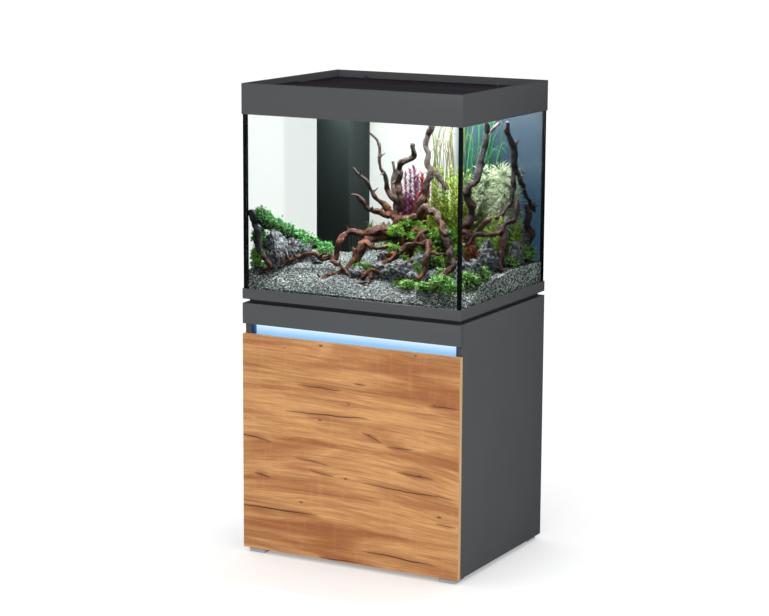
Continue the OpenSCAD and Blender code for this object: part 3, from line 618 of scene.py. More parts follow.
def finishes_of_slots():
    """The finish of each material slot in the record, for the frame's own nodes."""
    graphite = moulded("graphite_laminate", "#525557", 0.42, 650.0, 0.10)
    return {
        "graphite_board": graphite,
        "graphite_trim": moulded("graphite_satin", "#505254", 0.38, 900.0, 0.08),
        "oak_board": oak_face(),
        "gap_glow": gap_glow(),
        "gap_blue": blue_block(),
        "led_white": opal("opal_lit", 2.0),
        "aluminium": brushed("anodised_aluminium", "#c3c6ca", (1, 40, 40)),
        "zinc_steel": brushed("zinc_plated_steel", "#b4b7bb", (40, 40, 2), 0.28),
        "beech": beech(),
        "foot_plastic": moulded("silver_plastic", "#a6acb3", 0.35, 700.0, 0.08),
        "clear_pad": moulded("soft_clear_pad", "#dfe4e6", 0.2, 300.0, 0.05),
        "plinth_black": moulded("plinth_laminate", "#3b3f41", 0.5, 600.0, 0.12),
        "foam": moulded("closed_cell_foam", "#16181a", 0.9, 900.0, 0.5, 0.0005),
        "tank_glass": pane_glass(),
        "black_silicone": moulded("black_silicone", "#101214", 0.28, 120.0, 0.2, 0.0002),
        "back_film": back_film(),
        "shaft_plastic": moulded("shaft_sheet", "#151b1a", 0.6, 250.0, 0.12, **{"Specular IOR Level": 0.1}),
        "pipe_fittings": moulded("fitting_plastic", "#34393c", 0.4, 500.0, 0.15),
        "tap_red": moulded("red_lever", "#b3261c", 0.3, 400.0, 0.1),
        "tap_blue": moulded("blue_lever", "#2357b0", 0.3, 400.0, 0.1),
        "pipe_white": moulded("white_tube", "#e4e8ea", 0.25, 300.0, 0.05),
        "black_plastic": moulded("black_moulding", "#17191b", 0.42, 700.0, 0.2),
        "lid_gloss": moulded("lid_acrylic", "#332d38", 0.4, 200.0, 0.10, **{"Specular IOR Level": 0.12}),
        "knob_pale": moulded("knob_plastic", "#4b4a50", 0.35, 500.0, 0.1),
        "gravel": gravel_finish(),
        "root_wood": bark(),
        "grey_stone": stone(),
        "leaf_green": leaves("plain_leaf", "#3f7d2c", "#7fbf4a"),
    }


# ---- Making pieces ----

def new_piece(name, bm, finishes, stands_for=(), body=TANK, sharp=None):
    """Turns a bmesh into a named piece, attaches it to its body and hides the frame nodes it stands for."""
    mesh = bpy.data.meshes.new(name)
    bm.to_mesh(mesh)
    bm.free()
    mesh.shade_smooth()
    if sharp:
        mesh.set_sharp_from_angle(angle=math.radians(sharp))
    for finish in finishes:
        mesh.materials.append(finish)
    made = bpy.data.objects.new(name, mesh)
    bpy.context.collection.objects.link(made)
    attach(made, body)
    if stands_for:
        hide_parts(*stands_for)
    return made


def eased(name, part, width, segments=2, second=None, pick=None):
    """A copy of a frame node with its sharp edges eased; pick says which faces take the second finish."""
    bm = bmesh.new()
    bm.from_mesh(frame["nodes"][part].data)
    bmesh.ops.remove_doubles(bm, verts=bm.verts, dist=0.00001)
    bmesh.ops.dissolve_limit(bm, angle_limit=math.radians(1), verts=bm.verts, edges=bm.edges)
    keen = [e for e in bm.edges if len(e.link_faces) == 2 and e.calc_face_angle() > math.radians(35)]
    bmesh.ops.bevel(bm, geom=keen, offset=width, offset_type="OFFSET", segments=segments, profile=0.5,
                    affect="EDGES", material=-1, clamp_overlap=True)
    for face in bm.faces:
        face.material_index = 1 if pick and pick(face) else 0
    bmesh.ops.triangulate(bm, faces=[f for f in bm.faces if len(f.verts) > 4])
    finishes = [FINISH[SLOT_OF[part]]] + ([second] if second else [])
    return new_piece(name, bm, finishes, (part,), BODY_OF[part], 40)


def ease_boards():
    """Every board and moulding whose edges catch the light gets them eased."""
    eased("door_board", "door", 0.0007, 2, oak_edge(), lambda face: abs(face.normal.y) < 0.7)
    for name, part, width in (
            ("fascia_board", "fascia", 0.0008), ("left_side_board", "side_panel_left", 0.0006),
            ("right_side_board", "side_panel_right", 0.0006), ("shelf_board", "shelf", 0.0006),
            ("plinth_frame", "plinth", 0.0006), ("base_trim_frame", "base_trim", 0.0010),
            ("hood_shell", "hood_frame", 0.0012), ("front_lid_sheet", "lid_front", 0.0006),
            ("rear_lid_sheet", "lid_rear", 0.0006), ("lid_finger_grip", "lid_grip", 0.0010),
            ("lid_knob_pair", "lid_knobs", 0.0008), ("floor_pads", "feet", 0.0015),
            ("filter_shaft_wall", "filter_shaft", 0.0004), ("suction_tap_lever", "suction_tap", 0.0007),
            ("return_tap_lever", "return_tap", 0.0007), ("lamp_housings", "light_bars", 0.0015)):
        eased(name, part, width)


def smooth_path(points, per=6):
    """A smooth line through every point, with per steps from each to the next."""
    ends = [2 * points[0] - points[1], *points, 2 * points[-1] - points[-2]]
    out = []
    for a, b, c, d in zip(ends, ends[1:], ends[2:], ends[3:]):
        for i in range(per):
            t = i / per
            out.append(0.5 * (2 * b + (c - a) * t + (2 * a - 5 * b + 4 * c - d) * t * t
                              + (3 * b - a - 3 * c + d) * t ** 3))
    return out + [points[-1]]


def frames_along(path, side=Vector((1, 0.3, 0))):
    """A turned frame at each point of a path, carried along so that it doesn't twist."""
    out = []
    for i, point in enumerate(path):
        ahead = (path[min(i + 1, len(path) - 1)] - path[max(i - 1, 0)]).normalized()
        side = (side - ahead * side.dot(ahead)).normalized()
        over = ahead.cross(side)
        out.append(Matrix((side, over, ahead)).transposed().to_4x4())
        out[-1].translation = point
    return out


def sweep(bm, path, radii, flat=1.0, sides=8, side=Vector((1, 0.3, 0))):
    """A closed tube: a ring at the first point, extruded from point to point."""
    places = [at @ Matrix.Diagonal((r, r * flat, 1, 1)) for at, r in zip(frames_along(path, side), radii)]
    ring = bmesh.ops.create_circle(bm, segments=sides, radius=1, matrix=places[0])["verts"]
    edges = list(dict.fromkeys(e for v in ring for e in v.link_edges))
    faces = bmesh.ops.edgeloop_fill(bm, edges=edges)["faces"]
    for before, after in zip(places, places[1:]):
        made = bmesh.ops.extrude_edge_only(bm, edges=edges)["geom"]
        verts = [g for g in made if isinstance(g, bmesh.types.BMVert)]
        edges = [g for g in made if isinstance(g, bmesh.types.BMEdge)]
        faces += [g for g in made if isinstance(g, bmesh.types.BMFace)]
        bmesh.ops.transform(bm, matrix=after @ before.inverted(), verts=verts)
    faces += bmesh.ops.edgeloop_fill(bm, edges=edges)["faces"]
    bmesh.ops.recalc_face_normals(bm, faces=faces)


# ---- Gravel ----

def bed_height(x, y):
    """Top of the gravel: level with the trim at the front pane, a low right front corner, soft mounds."""
    ramp = min(max((y - TANK_LOW.y) / 0.15, 0.0), 1.0)
    rise = BED_AT_PANE + BED_RISE * ramp * (2 - ramp) + BED_TO_BACK * min(max((y + 0.1) / 0.36, 0.0), 1.0)
    mound = 0.010 * noise.noise(Vector((x * 7, y * 7, 0))) + 0.003 * noise.noise(Vector((x * 40, y * 40,
                                                                                         3)))
    left_bank = 0.046 * max(0.0, 1 - (x - TANK_LOW.x) / 0.02) * min((y - TANK_LOW.y) / 0.008,
                                                                    1.0) * (1 - ramp)
    low_corner = 0.03 * max(0.0, 1 - (TANK_HIGH.x - x) / 0.12) * max(0.0, 1 - (y - TANK_LOW.y) / 0.22)
    return max(min(rise + mound * ramp + left_bank - low_corner, GRAVEL_TOP + 0.004), BED_LOWEST)


def lay_gravel():
    clear = 0.0005
    half = Vector((TANK_HIGH.x - clear, TANK_HIGH.y - clear))
    bm = bmesh.new()
    bmesh.ops.create_grid(bm, x_segments=200, y_segments=156, size=1,
                          matrix=Matrix.Diagonal((half.x, half.y, 1, 1)))
    for axis, at in (((1, 0, 0), (SHAFT_HIGH.x + clear, 0, 0)), ((0, 1, 0), (0, SHAFT_LOW.y - clear, 0))):
        bmesh.ops.bisect_plane(bm, geom=bm.verts[:] + bm.edges[:] + bm.faces[:], plane_co=at, plane_no=axis)
    behind = [f for f in bm.faces
              if f.calc_center_median().x < SHAFT_HIGH.x and f.calc_center_median().y > SHAFT_LOW.y]
    bmesh.ops.delete(bm, geom=behind, context="FACES")
    for vert in bm.verts:
        vert.co.z = bed_height(vert.co.x, vert.co.y)
    rim = [e for e in bm.edges if e.is_boundary]
    made = bmesh.ops.extrude_edge_only(bm, edges=rim)["geom"]
    for vert in (g for g in made if isinstance(g, bmesh.types.BMVert)):
        vert.co.z = FLOOR_Z + 0.0002
    bmesh.ops.edgeloop_fill(bm, edges=[g for g in made if isinstance(g, bmesh.types.BMEdge)])
    bmesh.ops.recalc_face_normals(bm, faces=bm.faces)
    new_piece("gravel_bed_surface", bm, [FINISH["gravel"]], ("gravel_bed",), sharp=50)


def in_shaft(x, y, room=0.004):
    return x < SHAFT_HIGH.x + room and y > SHAFT_LOW.y - room


def strew_grains(bunches=22, count=380):
    """Loose grains on the bed, more of them near the front pane where they are seen."""
    draw = random.Random(11)
    seed = seed_mesh(lambda bm: bmesh.ops.create_icosphere(bm, subdivisions=1, radius=1))
    bm = start_leaves()
    for _ in range(bunches):
        own = start_leaves()
        for _ in range(count):
            x = draw.uniform(TANK_LOW.x + 0.004, TANK_HIGH.x - 0.004)
            y = TANK_LOW.y + 0.004 + (TANK_HIGH.y - TANK_LOW.y - 0.008) * draw.random() ** 1.4
            if in_shaft(x, y):
                continue
            size = draw.uniform(0.0012, 0.0025)
            spot = Vector((x, y, bed_height(x, y) + size * 0.3))
            turn = Euler([draw.uniform(0, 6.3) for _ in range(3)]).to_matrix().to_4x4()
            shape = Matrix.Diagonal((size, size * draw.uniform(0.6, 1), size * draw.uniform(0.5, 0.9), 1))
            stamp(own, seed, Matrix.Translation(spot) @ turn @ shape)
        pour(bm, own)
    new_piece("loose_gravel_grains", bm, [loose_grain()], ("gravel_bed",), sharp=20)


def seed_mesh(shape):
    """A small mesh to stamp many times."""
    bm = bmesh.new()
    bm.loops.layers.uv.new("leaf")
    shape(bm)
    mesh = bpy.data.meshes.new("seed")
    bm.to_mesh(mesh)
    bm.free()
    return mesh


def stamp(bm, seed, place):
    """Adds the seed's faces at a place."""
    seed.transform(place)
    bm.from_mesh(seed)
    seed.transform(place.inverted())


# ---- Root wood: branches through given points, in millimetres from the floor ----

BRANCHES = (
    (24, 16, ((20, 10, 845), (5, 10, 920), (15, 12, 980))),
    (10, 4, ((0, 10, 975), (-27, 10, 1050), (-32, 0, 1092), (-38, -20, 1158), (-65, -40, 1226))),
    (9, 5, ((-14, 30, 985), (-30, 42, 1074), (-34, 46, 1134))),
    (10, 8, ((8, 20, 1000), (6, 10, 1076), (14, 0, 1125), (52, -10, 1155), (66, -20, 1200))),
    (10, 9, ((40, 20, 970), (76, 40, 1057), (81, 50, 1123), (68, 60, 1180), (79, 60, 1240),
             (84, 60, 1274))),
    (8, 5, ((81, 50, 1130), (118, 48, 1090), (140, 45, 1062))),
    (11, 3.5, ((0, 10, 975), (-38, 0, 1012), (-58, -20, 1040), (-74, -40, 1085), (-107, -60, 1123))),
    (10, 4, ((-15, 0, 985), (-62, -30, 1000), (-79, -60, 1032), (-102, -80, 1046))),
    (13, 8, ((30, 0, 975), (105, -40, 1010), (148, -60, 1014), (196, -90, 984), (222, -110, 955))),
    (14, 4, ((10, -5, 945), (-42, -60, 949), (-102, -90, 939), (-125, -120, 872), (-146, -130, 868),
             (-194, -140, 874), (-240, -160, 864), (-261, -170, 853), (-300, -200, 832),
             (-322, -226, 819))),
    (4, 2, ((-102, -90, 942), (-112, -92, 962))),
    (16, 9, ((0, -5, 945), (-27, -50, 928), (-56, -100, 901), (-89, -160, 838), (-135, -200, 812))),
    (4, 3, ((-135, -196, 815), (-140, -205, 832))),
    (7, 3.5, ((-143, -130, 880), (-118, -150, 857), (-66, -170, 841), (-35, -190, 819), (25, -210, 822))),
    (9, 5, ((-45, -95, 915), (-20, -108, 905), (15, -118, 904), (45, -122, 915))),
    (6, 4, ((-48, -98, 905), (-56, -110, 870), (-58, -120, 845))),
    (9, 7, ((20, -105, 880), (60, -110, 890), (98, -112, 922), (125, -95, 940), (150, -75, 962))),
    (13, 7, ((40, -5, 960), (130, -80, 943), (162, -110, 921), (178, -160, 862), (155, -200, 818))),
    (7, 3, ((168, -110, 908), (200, -118, 902), (231, -120, 906))),
    (11, 8, ((196, -90, 984), (226, -110, 944), (245, -130, 914), (265, -150, 874), (241, -190, 839),
             (227, -210, 818))),
    (8, 7, ((100, -112, 922), (70, -125, 890), (20, -150, 862), (-20, -180, 835))),
    (7, 4, ((25, -150, 862), (22, -185, 835), (28, -205, 815))),
    (8, 5, ((120, -120, 880), (96, -150, 862), (70, -170, 850), (20, -175, 850), (-10, -190, 826))),
    (17, 10, ((205, 48, 880), (205, 42, 960), (212, 36, 1030), (222, 20, 1084))),
    (10, 8, ((222, 20, 1084), (240, 50, 1131), (250, 65, 1203), (250, 57, 1262))),
    (7, 5, ((250, 62, 1205), (252, 90, 1232), (258, 135, 1252))),
    (9, 6, ((200, 32, 845), (212, 45, 920), (240, 81, 970), (280, 119, 992), (290, 150, 1023))),
    (6, 10, ((290, 150, 1023), (294, 155, 1070), (296, 152, 1130))),
    (12, 7, ((296, 152, 1130), (298, 145, 1160), (300, 122, 1209), (300, 94, 1264))),
    (5, 3, ((300, 120, 1212), (296, 100, 1226), (292, 88, 1240))),
    (8, 5, ((300, 150, 1147), (306, 175, 1087), (310, 205, 1037), (310, 238, 1010))),
    (4, 3, ((306, 175, 1087), (306, 192, 1112))),
    (7, 6, ((310, 150, 1032), (310, 131, 980), (300, 71, 956), (260, 1, 945), (225, -9, 900),
            (215, -15, 848))),
    (11, 8, ((300, 78, 952), (310, 57, 892), (322, 22, 842))),
    (10, 7, ((300, 240, 1010), (305, 232, 960), (308, 238, 890), (300, 240, 845))),
    (8, 5, ((308, 235, 1000), (314, 250, 1012), (318, 255, 985))),
    (9, 6, ((305, 232, 900), (312, 215, 872), (322, 200, 850))),
    (11, 8, ((-330, -252, 1004), (-322, -251, 962), (-303, -248, 905), (-280, -238, 842))),
    (6, 5, ((-290, -190, 925), (-270, -180, 890), (-250, -165, 850))),
)


def wood_lines():
    """Every branch as a smooth, slightly crooked line with its radii."""
    draw = random.Random(4)
    noise.seed_set(4)  # noise_vector takes its seed from the clock unless one is set
    out = []
    for first, last, marks in BRANCHES:
        points = [Vector(marks[0]) * MM]
        for a, b in zip(marks, marks[1:]):
            a, b = Vector(a) * MM, Vector(b) * MM
            bend = Vector([draw.uniform(-1, 1) for _ in range(3)]) * (b - a).length * 0.12
            points += [a.lerp(b, 0.5) + bend, b]
        path = smooth_path(points, 5)
        count = len(path) - 1
        radii = [(first + (last - first) * i / count) * MM * (1 + 0.30 * noise.noise(path[i] * 45))
                 for i in range(count + 1)]
        radii[-1] *= 0.7
        path = [at + noise.noise_vector(at * 38) * r * 0.9 for at, r in zip(path, radii)]
        out.append((path, radii))
    # short broken spurs
    for path, radii in list(out):
        for _ in range(len(path) // 11):
            at = draw.randrange(3, len(path) - 3)
            aim = Vector([draw.uniform(-1, 1), draw.uniform(-1, 1), draw.uniform(-0.2, 1)]).normalized()
            length = draw.uniform(0.012, 0.03)
            spur = [path[at], path[at] + aim * length * 0.6,
                    path[at] + aim * length + Vector((0, 0, 0.003))]
            out.append((smooth_path(spur, 3), [radii[at] * k for k in (0.6, 0.55, 0.5, 0.45, 0.4, 0.3,
                                                                       0.22)]))
    return out


def keep_in_tank(point, room=0.003):
    """The nearest place inside the panes."""
    point.x = min(max(point.x, TANK_LOW.x + room), TANK_HIGH.x - room)
    point.y = min(max(point.y, TANK_LOW.y + room), TANK_HIGH.y - room)
    point.z = min(point.z, WATER_TOP - room)


def grow_wood():
    """Branches melted into one body, then grooved along their own direction."""
    lines = wood_lines()
    bm = bmesh.new()
    for path, radii in lines:
        sweep(bm, path, radii, 0.88, 10)
    mesh = bpy.data.meshes.new("wood_draft")
    bm.to_mesh(mesh)
    bm.free()
    draft = bpy.data.objects.new("wood_draft", mesh)
    bpy.context.collection.objects.link(draft)
    melt = draft.modifiers.new("melt", "REMESH")
    melt.mode = "VOXEL"
    melt.voxel_size = WOOD_GRID
    seen = draft.evaluated_get(bpy.context.evaluated_depsgraph_get())
    bm = bmesh.new()
    bm.from_mesh(seen.to_mesh())
    bpy.data.objects.remove(draft)
    samples = [(at, r, i) for path, radii in lines for i, (at, r) in enumerate(zip(frames_along(path),
                                                                                   radii))]
    tree = kdtree.KDTree(len(samples))
    for index, (at, _, _) in enumerate(samples):
        tree.insert(at.translation, index)
    tree.balance()
    bmesh.ops.smooth_vert(bm, verts=bm.verts, factor=0.5, use_axis_x=True, use_axis_y=True, use_axis_z=True)
    follow = bm.verts.layers.float_vector.new("bark")
    for vert in bm.verts:
        at, radius, step = samples[tree.find(vert.co)[1]]
        local = at.inverted() @ vert.co
        angle = math.atan2(local.y, local.x)
        along = step * WOOD_STEP + local.z
        vert[follow] = (math.cos(angle), math.sin(angle), along * 10)
        twist = angle + along * 9
        flute = noise.fractal(Vector((math.cos(twist) * 1.3, math.sin(twist) * 1.3,
                                      along * 16 + radius * 90)),
                              0.6, 2.2, 4)
        lump = noise.noise(vert.co * 55)
        vert.co += vert.normal * radius * (0.26 * flute + 0.16 * lump)
        keep_in_tank(vert.co)
    new_piece("root_wood_branches", bm, [FINISH["root_wood"]], ("driftwood",))


# ---- Stones ----

STONES = (((95, -160, 850), (50, 34, 44), 1), ((40, -150, 842), (36, 28, 30), 2),
          ((150, -170, 836), (26, 22, 22), 3),
          ((282, 20, 875), (38, 46, 58), 4), ((300, -95, 855), (26, 40, 38), 5),
          ((240, -60, 850), (34, 34, 36), 6),
          ((-292, -190, 885), (34, 44, 62), 7), ((-285, -115, 872), (38, 36, 48), 8),
          ((-268, -60, 860), (30, 30, 34), 9),
          ((170, 120, 870), (46, 36, 52), 10), ((295, 215, 890), (30, 34, 58), 11),
          ((-40, -165, 836), (30, 22, 24), 12),
          ((200, -150, 838), (30, 24, 26), 13), ((-215, -75, 848), (22, 20, 16), 14),
          ((310, 140, 870), (22, 36, 44), 15),
          ((20, -90, 870), (34, 30, 40), 16), ((120, -70, 860), (40, 34, 40), 17))


def break_stone(bm, centre, half, number):
    """A ball cut flat by random planes, then weathered."""
    draw = random.Random(number)
    fresh = bmesh.ops.create_icosphere(bm, subdivisions=5, radius=1)["verts"]
    cuts = [(Vector([draw.uniform(-1, 1) for _ in range(3)]).normalized(),
             draw.uniform(0.62, 0.9)) for _ in range(13)]
    for vert in fresh:
        way = vert.co.normalized()
        reach = min([1.05] + [depth / way.dot(face) for face, depth in cuts if way.dot(face) > 0.05])
        rough = noise.turbulence(way * 3.6 + Vector((number, 0, 0)), 5, True) - 0.45
        vert.co = way * reach * (1 + 0.34 * rough)
    size = Matrix.Diagonal((*[h * MM for h in half], 1))
    turn = Euler((draw.uniform(-0.3, 0.3), draw.uniform(-0.3, 0.3),
                  draw.uniform(0, 3))).to_matrix().to_4x4()
    bmesh.ops.transform(bm, matrix=Matrix.Translation(Vector(centre) * MM) @ size @ turn, verts=fresh)
    for vert in fresh:
        keep_in_tank(vert.co)


def set_stones():
    for name, rows in (("front_stones", STONES[0:8]), ("back_stones", STONES[8:])):
        bm = bmesh.new()
        for centre, half, number in rows:
            break_stone(bm, centre, half, number)
        new_piece(name, bm, [FINISH["grey_stone"]], ("rocks",))


# ---- Plants ----

def start_leaves():
    bm = bmesh.new()
    bm.loops.layers.uv.new("leaf")
    return bm


def pour(bm, own):
    """Adds a bunch made apart to the whole piece in one go."""
    mesh = bpy.data.meshes.new("bunch")
    own.to_mesh(mesh)
    own.free()
    bm.from_mesh(mesh)
    bpy.data.meshes.remove(mesh)


def leaf_shape(width, thick=0.06, cup=0.25, rings=4, around=6):
    """A leaf along +Y, one long: a flattened ball that is cupped and bent back."""
    def shape(bm):
        bmesh.ops.create_uvsphere(bm, u_segments=around, v_segments=rings, radius=0.5, calc_uvs=True,
                                  matrix=Matrix.Rotation(math.radians(-90), 4, "X"))
        for vert in bm.verts:
            along = vert.co.y + 0.5
            full = 1.15 - 0.5 * along
            vert.co = Vector((vert.co.x * width * full, along, vert.co.z * thick))
            vert.co.z += cup * vert.co.x ** 2 / max(width, 0.01) - cup * along ** 2 * 0.6
        layer = bm.loops.layers.uv["leaf"]
        for face in bm.faces:
            for loop in face.loops:
                loop[layer].uv = (0.5 + loop.vert.co.x, loop.vert.co.y)
    return seed_mesh(shape)


def leaf_place(point, way, size, roll):
    """Puts a leaf's foot at point, its length along way."""
    turn = way.to_track_quat("Y", "Z").to_matrix().to_4x4()
    return Matrix.Translation(point) @ turn @ Matrix.Rotation(roll, 4, "Y") @ Matrix.Scale(size, 4)


def random_way(draw, lift=0.0):
    way = Vector([draw.gauss(0, 1) for _ in range(3)]).normalized()
    way.z += lift
    return way.normalized()


def mound(bm, draw, seed, centre, half, count, size, lift=0.5):
    """An uneven cushion of leaves that look outwards, around a dark core that is painted shade inside the
    cushion.
    """
    own = start_leaves()
    centre, half = Vector(centre) * MM, Vector(half) * MM
    core = bmesh.ops.create_icosphere(own, subdivisions=3, radius=1)
    for vert in core["verts"]:
        bump = 0.66 + 0.24 * noise.noise(vert.co * 2.3 + centre * 40)
        vert.co = centre + Vector([c * h for c, h in zip(vert.co, half)]) * bump
        keep_in_tank(vert.co)
    # the core takes the second finish, a painted shade
    for face in own.faces:
        face.material_index = 1
    for _ in range(count):
        out = random_way(draw)
        out.z = abs(out.z) - 0.25
        depth = draw.uniform(0.6, 1.0) + 0.36 * noise.noise(out * 2.3 + centre * 40)
        if draw.random() < 0.12:
            depth += draw.uniform(0.1, 0.35)
        point = centre + Vector([c * h for c, h in zip(out, half)]) * depth
        length = size * MM * draw.uniform(0.6, 1.5)
        keep_in_tank(point, 0.002 + length)
        if in_shaft(point.x, point.y, length):
            continue
        way = (out + random_way(draw, lift) * 0.9).normalized()
        stamp(own, seed, leaf_place(point, way, length, draw.uniform(-1, 1)))
    pour(bm, own)


def stem(bm, draw, seed, foot, top, whorls, per, size, lift=0.75, stalk=0.8):
    """An upright stem with leaves in a spiral, small at the foot and at the tip."""
    own = start_leaves()
    foot, top = Vector(foot) * MM, Vector(top) * MM
    middle = foot.lerp(top, 0.5) + Vector([draw.uniform(-1, 1), draw.uniform(-1, 1), 0]) * 0.012
    path = smooth_path([foot, middle, top], 6)
    for point in path:
        keep_in_tank(point, 0.006)
    sweep(own, path, [stalk * MM * (1.2 - 0.7 * i / (len(path) - 1)) for i in range(len(path))], 1.0, 5)
    turn = draw.uniform(0, 6)
    for leaf in range(whorls * per):
        share = min(max((leaf + draw.uniform(-2, 2)) / (whorls * per), 0.01), 0.99)
        exact = share * (len(path) - 1)
        at = path[int(exact)].lerp(path[int(exact) + 1], exact % 1)
        full = 0.5 + 0.65 * math.sin(math.pi * min(share * 1.1 + 0.12, 0.97))
        length = size * MM * full * draw.uniform(0.7, 1.2)
        turn += LEAF_TURN
        rise = lift + 0.9 * share ** 3 + draw.uniform(-0.35, 0.35)
        way = Vector((math.cos(turn), math.sin(turn), rise)).normalized()
        tip = at + way * length
        if not (TANK_LOW.x + 0.003 < tip.x < TANK_HIGH.x - 0.003 and TANK_LOW.y < tip.y < TANK_HIGH.y - 0.003):
            way = Vector((way.x * 0.1, way.y * 0.1, 1)).normalized()
        stamp(own, seed, leaf_place(at, way, length, draw.uniform(-0.5, 0.5)))
    pour(bm, own)


def blade(bm, draw, foot, top, width, lean, thick=0.12):
    """One long grass blade that rises and bends over near its tip."""
    foot, top = Vector(foot) * MM, Vector(top) * MM
    lean = Vector(lean) * MM
    points = [foot, foot.lerp(top, 0.35) + lean * 0.1, foot.lerp(top, 0.7) + lean * 0.25, top + lean * 0.7,
              top + lean * 1.2 - Vector((0, 0, lean.length * 0.35))]
    path = smooth_path(points, 4)
    for point in path:
        keep_in_tank(point, 0.006)
    count = len(path) - 1
    radii = [width * MM * 0.5 * max(0.06, min(1.0, 3.2 * (1 - i / count))) for i in range(count + 1)]
    sweep(bm, path, radii, thick, 4, Vector((draw.uniform(-1, 1), draw.uniform(-1, 1), 0.05)))


def paint_lengthwise(bm):
    """Gives stalks and blades the leaf map by their height, so that their tone changes upwards."""
    layer = bm.loops.layers.uv.get("leaf") or bm.loops.layers.uv.new("leaf")
    for face in bm.faces:
        for loop in face.loops:
            loop[layer].uv = (0.5, min(max((loop.vert.co.z - GRAVEL_TOP) / 0.4, 0.0), 1.0))


def plant_piece(name, bm, *finishes):
    new_piece(name, bm, finishes, ("plants",))


def plant_cushions():
    """Low clover-like cushions, the moss on the wood, and the bushes on the bank at the left end."""
    draw = random.Random(21)
    clover = leaf_shape(0.55, 0.08, 0.5)
    # painted shade: a dark leaf finish for the cores inside the cushions
    painted_shade_core = leaves("shaded_leaf_mass", "#122a0c", "#1f3f14", 0.4)
    bm = start_leaves()
    for centre, half, count in (
            ((-322, -238, 872), (20, 22, 30), 460), ((-318, -250, 850), (20, 12, 16), 200),
            ((262, -220, 838), (32, 26, 26), 520), ((298, -224, 826), (26, 22, 18), 340),
            ((210, -222, 826), (26, 18, 16), 260), ((150, -205, 824), (22, 18, 12), 200),
            ((305, -140, 842), (26, 30, 24), 420), ((302, -78, 846), (28, 32, 28), 460),
            ((308, 178, 868), (26, 42, 34), 620), ((302, 232, 862), (30, 26, 34), 460),
            ((308, 118, 856), (24, 26, 20), 280), ((232, -150, 846), (24, 24, 22), 300)):
        mound(bm, draw, clover, centre, half, count, 9.0)
    plant_piece("clover_cushions", bm, leaves("clover_leaf", "#4f8a34", "#9fcf6e", 0.9, 0.05), painted_shade_core)
    needle = leaf_shape(0.36, 0.10, 0.3, 3, 5)
    bm = start_leaves()
    for centre, half, count in (
            ((52, -5, 962), (30, 26, 22), 560), ((92, -22, 934), (30, 28, 30), 640),
            ((122, -40, 892), (28, 28, 34), 560),
            ((22, -38, 940), (26, 22, 22), 440), ((34, -82, 893), (34, 22, 22), 500),
            ((-50, 44, 918), (36, 30, 30), 560),
            ((-20, 15, 880), (44, 34, 38), 520), ((78, -105, 868), (26, 20, 22), 380),
            ((150, -55, 868), (34, 34, 34), 560),
            ((215, -5, 884), (34, 34, 38), 600), ((245, 60, 900), (36, 34, 34), 520),
            ((120, -190, 820), (22, 16, 12), 240),
            ((-36, -130, 848), (30, 22, 14), 260), ((135, -140, 850), (26, 22, 26), 360),
            ((10, 60, 930), (40, 30, 34), 480),
            ((90, 40, 925), (44, 30, 40), 560), ((150, 30, 930), (34, 30, 36), 460)):
        mound(bm, draw, needle, centre, half, count, 8.0, 0.8)
    plant_piece("moss_cushions", bm, leaves("moss", "#2c5c14", "#84b834", 1.0, 0.07), painted_shade_core)
    bank = leaf_shape(0.55, 0.08, 0.5, 3, 6)
    bm = start_leaves()
    for centre, half, count in (
            ((-312, -232, 985), (22, 26, 34), 520), ((-312, -200, 968), (22, 34, 34), 560),
            ((-310, -150, 946), (24, 36, 34), 560), ((-308, -90, 922), (26, 38, 32), 560),
            ((-304, -30, 898), (30, 36, 30), 540), ((-300, 30, 874), (30, 32, 26), 460),
            ((-272, 68, 858), (30, 28, 20), 380), ((-245, 20, 854), (26, 28, 16), 280),
            ((-322, -240, 925), (12, 14, 34), 300), ((-280, -60, 880), (22, 26, 22), 320),
            ((-320, -218, 912), (14, 30, 56), 420), ((-320, -150, 892), (14, 36, 50), 420),
            ((-320, -85, 878), (14, 36, 40), 380), ((-322, 0, 862), (13, 60, 26), 380)):
        mound(bm, draw, bank, centre, half, count, 7.0, 0.9)
    plant_piece("left_bank_bushes", bm, leaves("bank_leaf", "#1d5c30", "#6cb455", 1.0, 0.08), painted_shade_core)


def plant_red_stems():
    """Purple and crimson stems behind the crown of the wood, and a russet tuft at the right."""
    draw = random.Random(31)
    narrow = leaf_shape(0.42, 0.07, 0.2, 4, 5)
    for name, finish, rows in (
            ("purple_stem_plants", leaves("purple_leaf", "#4a2140", "#95607f", 0.9, 0.08),
             ((-30, 96, 1078), (-18, 88, 1096), (-6, 108, 1104), (4, 98, 1118), (14, 84, 1098),
              (-12, 72, 1052),
              (-26, 76, 1044), (2, 66, 1040), (16, 62, 1030), (-36, 90, 1056), (22, 106, 1090))),
            ("crimson_stem_plants", leaves("crimson_leaf", "#571222", "#a03848", 0.9, 0.06),
             ((30, 100, 1082), (40, 90, 1100), (52, 106, 1076), (62, 94, 1096), (72, 104, 1072),
              (34, 70, 1040),
              (48, 66, 1046), (60, 74, 1058), (26, 60, 1022), (70, 70, 1036)))):
        bm = start_leaves()
        for x, y, top in rows:
            stem(bm, draw, narrow, (x, y, 848), (x + draw.uniform(-8, 8), y + draw.uniform(-8, 8), top),
                 26, 6, 25)
        plant_piece(name, bm, finish)
    bm = start_leaves()
    for _ in range(9):
        x, y = draw.uniform(215, 255), draw.uniform(-30, 10)
        stem(bm, draw, narrow, (x, y, 850), (x, y, draw.uniform(900, 948)), 9, 4, 17)
    plant_piece("russet_stem_plants", bm, leaves("russet_leaf", "#4e1a12", "#a4503a", 0.9, 0.06))


